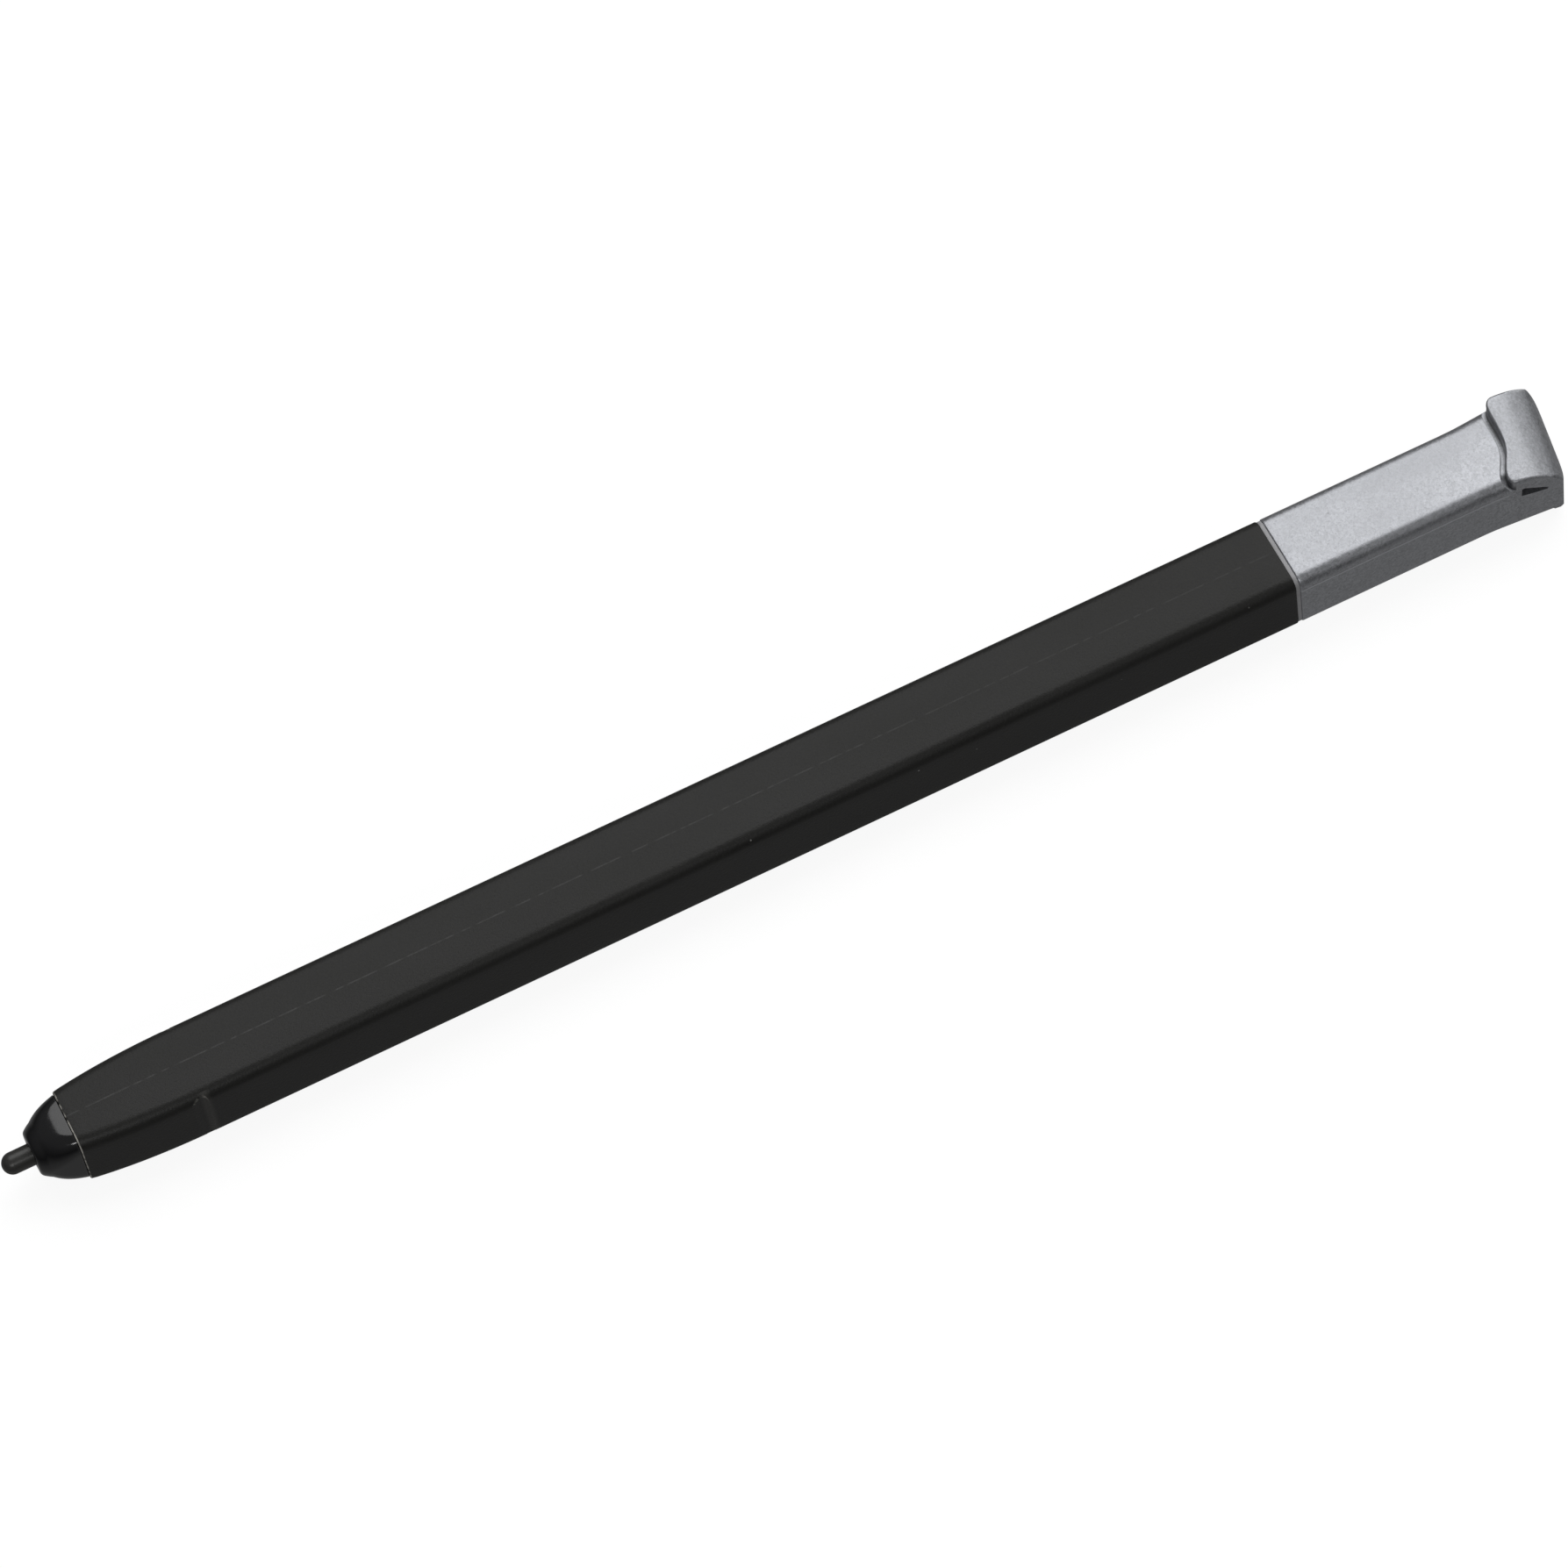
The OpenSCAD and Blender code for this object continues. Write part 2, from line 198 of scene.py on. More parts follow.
def rings(stations, pattern=PATTERN):
    """Rounded rectangles carried along the pen: each station is (x, width, height, radius)."""
    a, b, c, s = pattern
    x, w, h, r = np.asarray(stations, float).T[:, :, None]
    return np.stack([x + 0 * a, a * (w / 2 - r) + c * r, b * (h / 2 - r) + s * r], axis=-1)


def round_edge(x, w, h, r, edge, way, steps=4):
    """Stations that round off an end: the section grows by edge x sin as it moves by
    edge x (1 - cos). With way 1 the end faces the nib, with -1 the tail."""
    angle = np.linspace(0, pi / 2, steps + 1)
    inset = edge * (1 - np.sin(angle))
    rows = np.stack([x + way * edge * (1 - np.cos(angle)), w - 2 * inset, h - 2 * inset,
                     np.maximum(r - inset, 0.02 * MM)], axis=1)
    return rows[::way]


def run(x0, x1, w, h, r, steps=1):
    """Stations of one constant section."""
    x = np.linspace(x0, x1, steps + 1)
    return np.stack([x, w + 0 * x, h + 0 * x, r + 0 * x], axis=1)


def turned(profile, steps=64):
    """Surface of revolution about the pen's axis: each (x, radius) is carried round it."""
    x, radius = np.asarray(profile, float).T[:, :, None]
    angle = np.linspace(0, 2 * pi, steps, endpoint=False)
    return np.stack([x + 0 * angle, radius * np.cos(angle), radius * np.sin(angle)], axis=-1)


def upright(grid, x, z):
    """A surface about the pen's axis, stood on end: along the pen becomes up, from (x, z)."""
    return np.stack([x + grid[..., 1], grid[..., 2], z + grid[..., 0]], axis=-1)


def eased_path(points, radius, steps=5):
    """A path whose inner corners are arcs of one radius.

    Each arc's centre lies on the corner's bisector, at radius / sin(half its angle).
    """
    points = np.asarray(points, float)
    path = [points[:1]]
    for before, corner, after in zip(points, points[1:], points[2:]):
        back = (before - corner) / np.linalg.norm(before - corner)
        ahead = (after - corner) / np.linalg.norm(after - corner)
        half = np.arccos(np.clip(back @ ahead, -1, 1)) / 2
        middle = (back + ahead) / np.linalg.norm(back + ahead)
        side = (ahead - back) / np.linalg.norm(ahead - back)
        angle = np.linspace(-1, 1, steps + 1)[:, None] * (pi / 2 - half)
        centre = corner + middle * radius / np.sin(half)
        path.append(centre + radius * (side * np.sin(angle) - middle * np.cos(angle)))
    return np.concatenate(path + [points[-1:]])


def closed_ends(grid):
    """The grid with a row at each end where all points meet in the middle."""
    first = grid[:1].mean(axis=1, keepdims=True) + 0 * grid[:1]
    last = grid[-1:].mean(axis=1, keepdims=True) + 0 * grid[-1:]
    return np.concatenate([first, grid, last])


def tube(path, radius, sides=10):
    """A round tube: at each point of the path, a circle square to the path's direction."""
    path = np.asarray(path, float)
    ahead = np.gradient(path, axis=0)
    ahead /= np.linalg.norm(ahead, axis=1, keepdims=True)
    # Crossed with a line that no path here runs along
    first = np.cross(ahead, [0.31, 0.87, 0.38])
    first /= np.linalg.norm(first, axis=1, keepdims=True)
    second = np.cross(ahead, first)
    angle = np.linspace(0, 2 * pi, sides, endpoint=False)[None, :, None]
    circle = np.cos(angle) * first[:, None] + np.sin(angle) * second[:, None]
    return closed_ends(path[:, None] + radius * circle)


def helix(x, angle, radius, wire, sides=8):
    """Wire wound round the pen's axis: its centre is at (x, radius cos, radius sin), and its
    section is a circle spanned by the outward direction and the axis."""
    x, angle = np.asarray(x)[:, None], np.asarray(angle)[:, None]
    around = np.linspace(0, 2 * pi, sides, endpoint=False)
    out = radius + wire / 2 * np.cos(around)
    return closed_ends(np.stack([x + wire / 2 * np.sin(around), out * np.cos(angle),
                                 out * np.sin(angle)], axis=-1))


def soft_block(centre, size, steps=10, power=0.3):
    """A superellipsoid: the sines and cosines of latitude and longitude, raised to a small
    power, turn a ball into a block with soft edges."""
    lat = np.linspace(-pi / 2, pi / 2, steps + 1)[:, None]
    lon = (np.arange(2 * steps) + 0.5) * pi / steps

    def bent(value):
        value = np.where(np.abs(value) < 1e-9, 0, value)
        return np.sign(value) * np.abs(value) ** power

    unit = [bent(np.cos(lat)) * bent(np.cos(lon)), bent(np.cos(lat)) * bent(np.sin(lon)),
            bent(np.sin(lat)) + 0 * lon]
    return np.asarray(centre) + np.stack(unit, axis=-1) * np.asarray(size) / 2


# ---------------------------------------------------------------------------------------
# Meshes
# ---------------------------------------------------------------------------------------

def outward(points, faces):
    """The faces, turned round if they enclose a negative volume: each triangle of a face adds
    the volume of its tetrahedron from one point of the mesh."""
    corner = points[faces] - points[faces[0, 0]]
    volume = sum(np.einsum("ij,ij->", corner[:, 0], np.cross(corner[:, k], corner[:, k + 1]))
                 for k in (1, 2))
    return faces if volume > 0 else faces[:, ::-1]


def woven(grids, loop):
    """Points and faces of closed grids, each joined round its columns and, where loop is set,
    round its rows too. Points that coincide, at poles and seams, become one point."""
    points, faces, count = [], [], 0
    for grid in grids:
        rows, columns = grid.shape[:2]
        here = grid.reshape(-1, 3)
        r, c = np.arange(rows if loop else rows - 1)[:, None], np.arange(columns)
        beside, below = (c + 1) % columns, (r + 1) % rows * columns
        quads = np.stack([r * columns + c, r * columns + beside, below + beside, below + c],
                         axis=-1).reshape(-1, 4)
        faces.append(outward(here, quads) + count)
        points.append(here)
        count += len(here)
    points, faces = np.concatenate(points), np.concatenate(faces)
    _, first, same = np.unique(np.round(points / (1e-4 * MM)), axis=0, return_index=True,
                               return_inverse=True)
    return points[first], same.reshape(-1)[faces]


def as_lists(faces):
    """Quads as lists, with those that have lost one corner as triangles, and thinner ones
    left out."""
    lost = faces == np.roll(faces, -1, axis=1)
    crossed = (faces[:, 0] == faces[:, 2]) | (faces[:, 1] == faces[:, 3])
    lists = faces[~lost.any(axis=1) & ~crossed].tolist()
    for k in range(4):
        only = lost[:, k] & (lost.sum(axis=1) == 1) & ~crossed
        lists += np.delete(faces[only], k, axis=1).tolist()
    return lists


def mesh_from(name, grids, loop):
    """A mesh of closed grids, moved from the pen's own directions into the shared frame."""
    points, faces = woven(grids, loop)
    mesh = bpy.data.meshes.new(name)
    mesh.from_pydata((points + [TIP, 0, AXIS_Z]).tolist(), [], as_lists(faces))
    return mesh


def linked(name, data):
    """A new object in the scene."""
    made = bpy.data.objects.new(name, data)
    bpy.context.scene.collection.objects.link(made)
    return made


def cut(piece, grid):
    """Takes a closed shape out of a piece."""
    cutter = linked("cutter", mesh_from("cutter", [grid], False))
    modifier = piece.modifiers.new("cut", "BOOLEAN")
    modifier.operation, modifier.solver, modifier.object = "DIFFERENCE", "EXACT", cutter
    seen = piece.evaluated_get(bpy.context.evaluated_depsgraph_get())
    result = bpy.data.meshes.new_from_object(seen)
    piece.modifiers.clear()
    before, piece.data = piece.data, result
    bpy.data.meshes.remove(before)
    bpy.data.meshes.remove(cutter.data)


# Share of the normals that is lost at an edge that counts in full, and the angle between
# faces from which their edge is sharp
FULL_EDGE = 0.04
SHARP_ANGLE = radians(35)


def mark_edges(mesh):
    """Stores two numbers at each point, 0 on a flat: "edge" where the surface folds away and
    "hollow" where it folds in.

    The unit normals of the faces round a point add up to less than their number by how much
    the surface turns there; it folds in if those faces lie, on average, above the point.
    """
    faces = mesh.polygons
    corners, sides = np.empty(len(mesh.loops), np.int32), np.empty(len(faces), np.int32)
    mesh.loops.foreach_get("vertex_index", corners)
    faces.foreach_get("loop_total", sides)
    normals, centres = np.empty(3 * len(faces)), np.empty(3 * len(faces))
    faces.foreach_get("normal", normals)
    faces.foreach_get("center", centres)
    points = np.empty(3 * len(mesh.vertices))
    mesh.vertices.foreach_get("co", points)
    total, pull = np.zeros((2, len(mesh.vertices), 3))
    np.add.at(total, corners, np.repeat(normals.reshape(-1, 3), sides, axis=0))
    away = np.repeat(centres.reshape(-1, 3), sides, axis=0) - points.reshape(-1, 3)[corners]
    np.add.at(pull, corners, away)
    number = np.maximum(np.bincount(corners, minlength=len(total)), 1)
    turn = np.clip((1 - np.linalg.norm(total, axis=1) / number) / FULL_EDGE, 0, 1)
    inward = np.einsum("ij,ij->i", total, pull) > 0
    for name, chosen in (("edge", ~inward), ("hollow", inward)):
        attribute = mesh.attributes.new(name, "FLOAT", "POINT")
        attribute.data.foreach_set("value", (turn * chosen).astype(np.float32))


def add_piece(name, grids, body, node, slot, look=None, loop=False, cutter=None):
    """A finished piece: smooth with sharp edges, riding on its body in place of its frame node,
    in its slot's material or another look's."""
    piece = linked(name, mesh_from(name, grids, loop))
    if cutter is not None:
        cut(piece, cutter)
    mesh = piece.data
    mesh.name = name
    mesh.shade_smooth()
    mesh.set_sharp_from_angle(angle=SHARP_ANGLE)
    mark_edges(mesh)
    mesh.materials.clear()
    mesh.materials.append(finish(look or slot))
    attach(piece, body)
    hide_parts(node)
    return piece


# ---------------------------------------------------------------------------------------
# Shared effects, as shader node groups
# ---------------------------------------------------------------------------------------

def put(tree, kind, inputs=None, **settings):
    """A shader node, with sockets set to values or linked to other sockets."""
    node = tree.nodes.new("ShaderNode" + kind)
    for key, value in settings.items():
        setattr(node, key, value)
    for key, value in (inputs or {}).items():
        if isinstance(value, bpy.types.NodeSocket):
            tree.links.new(value, node.inputs[key])
        else:
            node.inputs[key].default_value = value
    return node


def sum_up(tree, operation, a, b=0.0, c=0.0, clamp=False):
    """The result of a Math node."""
    return put(tree, "Math", {0: a, 1: b, 2: c}, operation=operation,
               use_clamp=clamp).outputs[0]


def stretch(tree, value, low, high, out_low=0.0, out_high=1.0):
    """A value mapped from one range to another, and kept inside it."""
    return put(tree, "MapRange", {0: value, 1: low, 2: high, 3: out_low, 4: out_high}).outputs[0]


def place(tree):
    """The position on the piece, in metres."""
    return put(tree, "TexCoord").outputs["Object"]


def effect(name, inputs, build):
    """A node group with named number inputs and one value output, built once."""
    if name in bpy.data.node_groups:
        return bpy.data.node_groups[name]
    tree = bpy.data.node_groups.new(name, "ShaderNodeTree")
    for label, default in inputs.items():
        socket = tree.interface.new_socket(label, in_out="INPUT", socket_type="NodeSocketFloat")
        socket.default_value = default
    tree.interface.new_socket("Value", in_out="OUTPUT", socket_type="NodeSocketFloat")
    given = tree.nodes.new("NodeGroupInput").outputs
    end = tree.nodes.new("NodeGroupOutput")
    tree.links.new(build(tree, given), end.inputs[0])
    return tree


def fine_grain():
    """Moulded texture: small bumps of one size, with finer ones on them."""
    def build(tree, given):
        size = sum_up(tree, "DIVIDE", 1.0, given["Size"])
        coarse = put(tree, "TexNoise", {"Vector": place(tree), "Scale": size, "Detail": 2.0,
                                        "Roughness": 0.6})
        return stretch(tree, coarse.outputs["Fac"], 0.3, 0.7)
    return effect("Fine grain", {"Size": 0.1 * MM}, build)


def soft_clouds():
    """Slow unevenness of a moulded or sprayed surface, longer along the pen than across."""
    def build(tree, given):
        flat = put(tree, "Mapping", {"Vector": place(tree), "Scale": (0.35, 1.0, 1.0)})
        size = sum_up(tree, "DIVIDE", 1.0, given["Size"])
        cloud = put(tree, "TexNoise", {"Vector": flat.outputs[0], "Scale": size, "Detail": 3.0,
                                       "Roughness": 0.5})
        return stretch(tree, cloud.outputs["Fac"], 0.32, 0.68)
    return effect("Soft clouds", {"Size": 6 * MM}, build)


def edge_wear():
    """Rubbed edges: the piece's edge attribute, broken up by noise."""
    def build(tree, given):
        edge = put(tree, "Attribute", attribute_name="edge", attribute_type="GEOMETRY")
        noise = put(tree, "TexNoise", {"Vector": place(tree), "Scale": 1 / (0.5 * MM),
                                       "Detail": 4.0})
        rub_and_highlight = sum_up(tree, "MULTIPLY", stretch(tree, edge.outputs["Fac"], 0.15, 0.5),
                        stretch(tree, noise.outputs["Fac"], 0.35, 0.6))
        return sum_up(tree, "MULTIPLY", rub_and_highlight, given["Amount"], clamp=True)
    return effect("Edge wear", {"Amount": 0.5}, build)


def painted_hollow_shade():
    """Painted shade in corners: the piece's hollow attribute, a little uneven, darkens the
    colour where the surface folds in.
    """
    def build(tree, given):
        hollow = put(tree, "Attribute", attribute_name="hollow", attribute_type="GEOMETRY")
        noise = put(tree, "TexNoise", {"Vector": place(tree), "Scale": 1 / (0.8 * MM)})
        hollow_shade = sum_up(tree, "MULTIPLY", hollow.outputs["Fac"],
                      stretch(tree, noise.outputs["Fac"], 0.2, 0.5, 0.5, 1.0))
        return sum_up(tree, "MULTIPLY", hollow_shade, given["Amount"], clamp=True)
    return effect("Settled dirt", {"Amount": 0.5}, build)


def parting_ridge():
    """Fine raised line round the piece at one height, as far back as a given place."""
    def build(tree, given):
        x, _, z = put(tree, "SeparateXYZ", {"Vector": place(tree)}).outputs
        off = sum_up(tree, "ABSOLUTE", sum_up(tree, "SUBTRACT", z, given["Height"]))
        ridge = stretch(tree, off, 0.05 * MM, 0.17 * MM, 1.0, 0.0)
        return sum_up(tree, "MULTIPLY", ridge, sum_up(tree, "LESS_THAN", x, given["End"]))
    return effect("Parting ridge", {"Height": 5.2 * MM, "End": 60 * MM}, build)


def dust_specks():
    """Tiny pale specks: round spots in a few of the cells of a cell pattern."""
    def build(tree, given):
        cells = put(tree, "TexVoronoi", {"Vector": place(tree), "Randomness": 1.0,
                                         "Scale": sum_up(tree, "DIVIDE", 1.0, given["Spacing"])})
        spot = stretch(tree, cells.outputs["Distance"], 0.03, 0.06, 1.0, 0.0)
        pick = put(tree, "SeparateColor", {"Color": cells.outputs["Color"]}).outputs["Red"]
        chosen = sum_up(tree, "LESS_THAN", pick, given["Share"])
        return sum_up(tree, "MULTIPLY", spot, chosen)
    return effect("Dust specks", {"Spacing": 1.5 * MM, "Share": 0.3}, build)


def metal_flake():
    """Flakes of a metallic paint: each cell of a fine cell pattern has its own brightness."""
    def build(tree, given):
        cells = put(tree, "TexVoronoi", {"Vector": place(tree), "Randomness": 1.0,
                                         "Scale": sum_up(tree, "DIVIDE", 1.0, given["Size"])})
        return put(tree, "SeparateColor", {"Color": cells.outputs["Color"]}).outputs["Green"]
    return effect("Metal flake", {"Size": 0.06 * MM}, build)


def witness_line():
    """Faint line of the mould along the middle of the broad face: a band about Y = 0, broken
    into dashes by a noise along the pen, and fainter towards the tail."""
    def build(tree, given):
        x, y, z = put(tree, "SeparateXYZ", {"Vector": place(tree)}).outputs
        off = sum_up(tree, "ABSOLUTE", y)
        band = stretch(tree, sum_up(tree, "DIVIDE", off, given["Width"]), 0.6, 1.4, 1.0, 0.0)
        row = put(tree, "CombineXYZ", {"X": sum_up(tree, "MULTIPLY", x, 1 / (1.1 * MM))})
        dash = put(tree, "TexNoise", {"Vector": row.outputs[0], "Scale": 1.0, "Detail": 1.0})
        broken = stretch(tree, dash.outputs["Fac"], 0.4, 0.55)
        strong = stretch(tree, x, TIP + 30 * MM, TIP + 110 * MM, 1.0, 0.4)
        above = sum_up(tree, "GREATER_THAN", z, AXIS_Z)
        line = sum_up(tree, "MULTIPLY", sum_up(tree, "MULTIPLY", band, broken), strong)
        return sum_up(tree, "MULTIPLY", line, above)
    return effect("Witness line", {"Width": 0.07 * MM}, build)


# ---------------------------------------------------------------------------------------
# Materials
# ---------------------------------------------------------------------------------------

def use(tree, group, **inputs):
    """The value of a shared effect in a material, with this material's own settings."""
    node = tree.nodes.new("ShaderNodeGroup")
    node.node_tree = group
    for key, value in inputs.items():
        node.inputs[key].default_value = value
    return node.outputs[0]


def scaled(rgb, factor):
    """A colour made lighter or darker, as RGBA."""
    return tuple(min(1.0, v * factor) for v in rgb) + (1.0,)


def blend_colours(tree, mask, a, b):
    """Colour a where the mask is 0 and b where it is 1."""
    node = put(tree, "Mix", {"Factor": mask, 6: a, 7: b}, data_type="RGBA")
    return node.outputs[2]


def start(name):
    """A new material's node tree and its Principled shader."""
    material = bpy.data.materials.new(name)
    material.use_nodes = True
    return material, material.node_tree, material.node_tree.nodes["Principled BSDF"]


def set_sockets(tree, shader, values):
    """Sets or links the shader's sockets."""
    for key, value in values.items():
        if isinstance(value, bpy.types.NodeSocket):
            tree.links.new(value, shader.inputs[key])
        else:
            shader.inputs[key].default_value = value


DUST = (0.32, 0.31, 0.3, 1.0)
GOLD_PAD = (0.75, 0.52, 0.2, 1.0)
TIN = (0.62, 0.62, 0.6, 1.0)
CHIP_PITCH, CHIP_LENGTH = 2.1 * MM, 1.5 * MM


def moulded(name, rgb, rough=0.45, grain=0.12, depth=0.01, vary=0.08, wear=0.3, specks=0.0,
            specular=0.5, metal=0.0, lines=False, wear_and_highlight_to=None):
    """Moulded or plain material: clouds and grain in its colour and roughness, grain as bump,
    paler and smoother along rubbed edges, with specks of dust and, for the barrel, the line
    of its mould and a paler front rim and groove wall that are partly wear and partly a
    painted highlight. Grain and depth are in millimetres."""
    material, tree, shader = start(name)
    grit = use(tree, fine_grain(), Size=grain * MM)
    cloud = use(tree, soft_clouds(), Size=5 * MM)
    wear_and_highlight = use(tree, edge_wear(), Amount=wear)
    if lines:
        # The barrel is paler at its front rim, less further back, and in its grooves: partly
        # rubbed wear, partly a painted highlight along the rim and the groove wall
        x, y, _ = put(tree, "SeparateXYZ", {"Vector": place(tree)}).outputs
        fade = stretch(tree, x, TIP + 9 * MM, TIP + 20 * MM, 1.0, 0.0)
        groove = TIP + bpy.context.scene.stylus_sizes.groove_at + 0.1 * MM
        off = sum_up(tree, "ABSOLUTE", sum_up(tree, "SUBTRACT", x, groove))
        side = sum_up(tree, "GREATER_THAN", sum_up(tree, "ABSOLUTE", y), PEN_W / 2 - 0.5 * MM)
        rub_and_highlight = stretch(tree, off, 0.15 * MM, 0.5 * MM, 0.05, 0.0)
        wear_and_highlight = sum_up(tree, "MAXIMUM", sum_up(tree, "MULTIPLY", wear_and_highlight, fade),
                      sum_up(tree, "MULTIPLY", rub_and_highlight, side))
    both = sum_up(tree, "MULTIPLY_ADD", grit, 0.5, sum_up(tree, "MULTIPLY", cloud, 0.5))
    tint = blend_colours(tree, both, scaled(rgb, 1 - vary), scaled(rgb, 1 + vary))
    # Paler along edges: wear, and on the barrel's rims and groove walls also a painted highlight
    tint = blend_colours(tree, wear_and_highlight, tint, scaled(wear_and_highlight_to or [1.6 * v + 0.03 for v in rgb], 1))
    if lines:
        mark = use(tree, witness_line(), Width=0.06 * MM)
        tint = blend_colours(tree, mark, tint, scaled([v + 0.035 for v in rgb], 1))
    if specks:
        dust = use(tree, dust_specks(), Spacing=1.6 * MM, Share=specks)
        tint = blend_colours(tree, dust, tint, DUST)
    gloss = sum_up(tree, "MULTIPLY_ADD", cloud, 0.08,
                   sum_up(tree, "MULTIPLY_ADD", grit, 0.06, rough - 0.07))
    gloss = sum_up(tree, "MULTIPLY_ADD", wear_and_highlight, -0.12, gloss, clamp=True)
    bump = put(tree, "Bump", {"Height": grit, "Distance": depth * MM, "Strength": 1.0})
    set_sockets(tree, shader, {
        "Base Color": tint, "Roughness": gloss, "Normal": bump.outputs[0],
        "Specular IOR Level": specular, "Metallic": metal})
    return material


def silver_paint(name, rgb):
    """Metallic paint under a thin clear coat: flakes of two sizes that differ in brightness and
    tilt, a fine ridge where the mould parted with a painted highlight along it, and painted
    shade in the corners."""
    material, tree, shader = start(name)
    flake = use(tree, metal_flake(), Size=0.2 * MM)
    fine = use(tree, metal_flake(), Size=0.11 * MM)
    flake = sum_up(tree, "MULTIPLY_ADD", flake, 0.5, sum_up(tree, "MULTIPLY", fine, 0.5))
    cloud = use(tree, soft_clouds(), Size=4 * MM)
    wear_and_highlight = use(tree, edge_wear(), Amount=0.35)
    hollow_shade = use(tree, painted_hollow_shade(), Amount=0.75)
    dust = use(tree, dust_specks(), Spacing=1.9 * MM, Share=0.2)
    ridge = use(tree, parting_ridge(), Height=5.05 * MM, End=TIP + PEN_END - 6 * MM)
    tint = blend_colours(tree, flake, scaled(rgb, 0.68), scaled(rgb, 1.32))
    tint = blend_colours(tree, sum_up(tree, "MULTIPLY", cloud, 0.5), tint, scaled(rgb, 0.93))
    # Painted highlight: the parting ridge is made paler, for the light line it catches
    tint = blend_colours(tree, sum_up(tree, "MULTIPLY", ridge, 0.8), tint, scaled(rgb, 1.7))
    tint = blend_colours(tree, wear_and_highlight, tint, scaled(rgb, 1.25))
    tint = blend_colours(tree, dust, tint, scaled(rgb, 0.6))
    # Painted shade: near black where the surface folds in, for the shade in the gully and
    # corners
    tint = blend_colours(tree, hollow_shade, tint, scaled(rgb, 0.08))
    gloss = sum_up(tree, "MULTIPLY_ADD", flake, 0.1,
                   sum_up(tree, "MULTIPLY_ADD", cloud, 0.05, 0.34))
    tilt = put(tree, "Bump", {"Height": flake, "Distance": 0.007 * MM, "Strength": 1.0})
    bump = put(tree, "Bump", {"Height": ridge, "Distance": 0.05 * MM, "Strength": 1.0,
                              "Normal": tilt.outputs[0]})
    set_sockets(tree, shader, {
        "Base Color": tint, "Roughness": gloss, "Normal": bump.outputs[0], "Metallic": 0.85,
        "Coat Weight": 0.35, "Coat Roughness": 0.12})
    return material


def enamelled(name, rgb):
    """Copper wire under varnish: darker where the varnish is thick."""
    material, tree, shader = start(name)
    cloud = use(tree, soft_clouds(), Size=0.8 * MM)
    grit = use(tree, fine_grain(), Size=0.08 * MM)
    tint = blend_colours(tree, cloud, scaled(rgb, 0.75), scaled(rgb, 1.1))
    gloss = sum_up(tree, "MULTIPLY_ADD", grit, 0.1, 0.22)
    bump = put(tree, "Bump", {"Height": grit, "Distance": 0.002 * MM})
    set_sockets(tree, shader, {
        "Base Color": tint, "Roughness": gloss, "Metallic": 0.9, "Normal": bump.outputs[0],
        "Coat Weight": 0.6, "Coat Roughness": 0.1})
    return material


def board_finish(name, rgb):
    """Solder mask over copper tracks: a brick pattern of long tracks seen through the mask,
    raised a little, with gold pads scattered among them."""
    material, tree, shader = start(name)
    tracks = put(tree, "TexBrick", {
        "Vector": place(tree), "Color1": (1, 1, 1, 1), "Color2": (0.6, 0.6, 0.6, 1),
        "Mortar": (0, 0, 0, 1), "Scale": 1 / (1.6 * MM), "Mortar Size": 0.04,
        "Brick Width": 1.3, "Row Height": 0.32})
    pads = use(tree, dust_specks(), Spacing=1.3 * MM, Share=0.5)
    grit = use(tree, fine_grain(), Size=0.06 * MM)
    line = tracks.outputs["Fac"]
    tint = blend_colours(tree, line, scaled(rgb, 1.25), scaled(rgb, 0.6))
    tint = blend_colours(tree, pads, tint, GOLD_PAD)
    gloss = sum_up(tree, "MULTIPLY_ADD", grit, 0.12, 0.25)
    height = sum_up(tree, "SUBTRACT", sum_up(tree, "MULTIPLY", grit, 0.1), line)
    bump = put(tree, "Bump", {"Height": height, "Distance": 0.02 * MM})
    set_sockets(tree, shader, {"Base Color": tint, "Roughness": gloss,
                               "Metallic": sum_up(tree, "MULTIPLY", pads, 0.9),
                               "Normal": bump.outputs[0]})
    return material


def capacitor_finish(name, rgb):
    """Ceramic chips with tinned ends: the ends are found from the row's pitch."""
    material, tree, shader = start(name)
    x = put(tree, "SeparateXYZ", {"Vector": place(tree)}).outputs[0]
    first = TIP + along("chip_capacitors")[0]
    step = sum_up(tree, "WRAP", sum_up(tree, "SUBTRACT", x, first), CHIP_PITCH, 0.0)
    middle = sum_up(tree, "ABSOLUTE", sum_up(tree, "SUBTRACT", step, CHIP_LENGTH / 2))
    tin = sum_up(tree, "GREATER_THAN", middle, CHIP_LENGTH * 0.3)
    grit = use(tree, fine_grain(), Size=0.06 * MM)
    body = blend_colours(tree, grit, scaled(rgb, 0.85), scaled(rgb, 1.15))
    bump = put(tree, "Bump", {"Height": grit, "Distance": 0.006 * MM})
    set_sockets(tree, shader, {
        "Base Color": blend_colours(tree, tin, body, TIN),
        "Metallic": tin, "Roughness": sum_up(tree, "MULTIPLY_ADD", grit, 0.15, 0.32),
        "Normal": bump.outputs[0]})
    return material


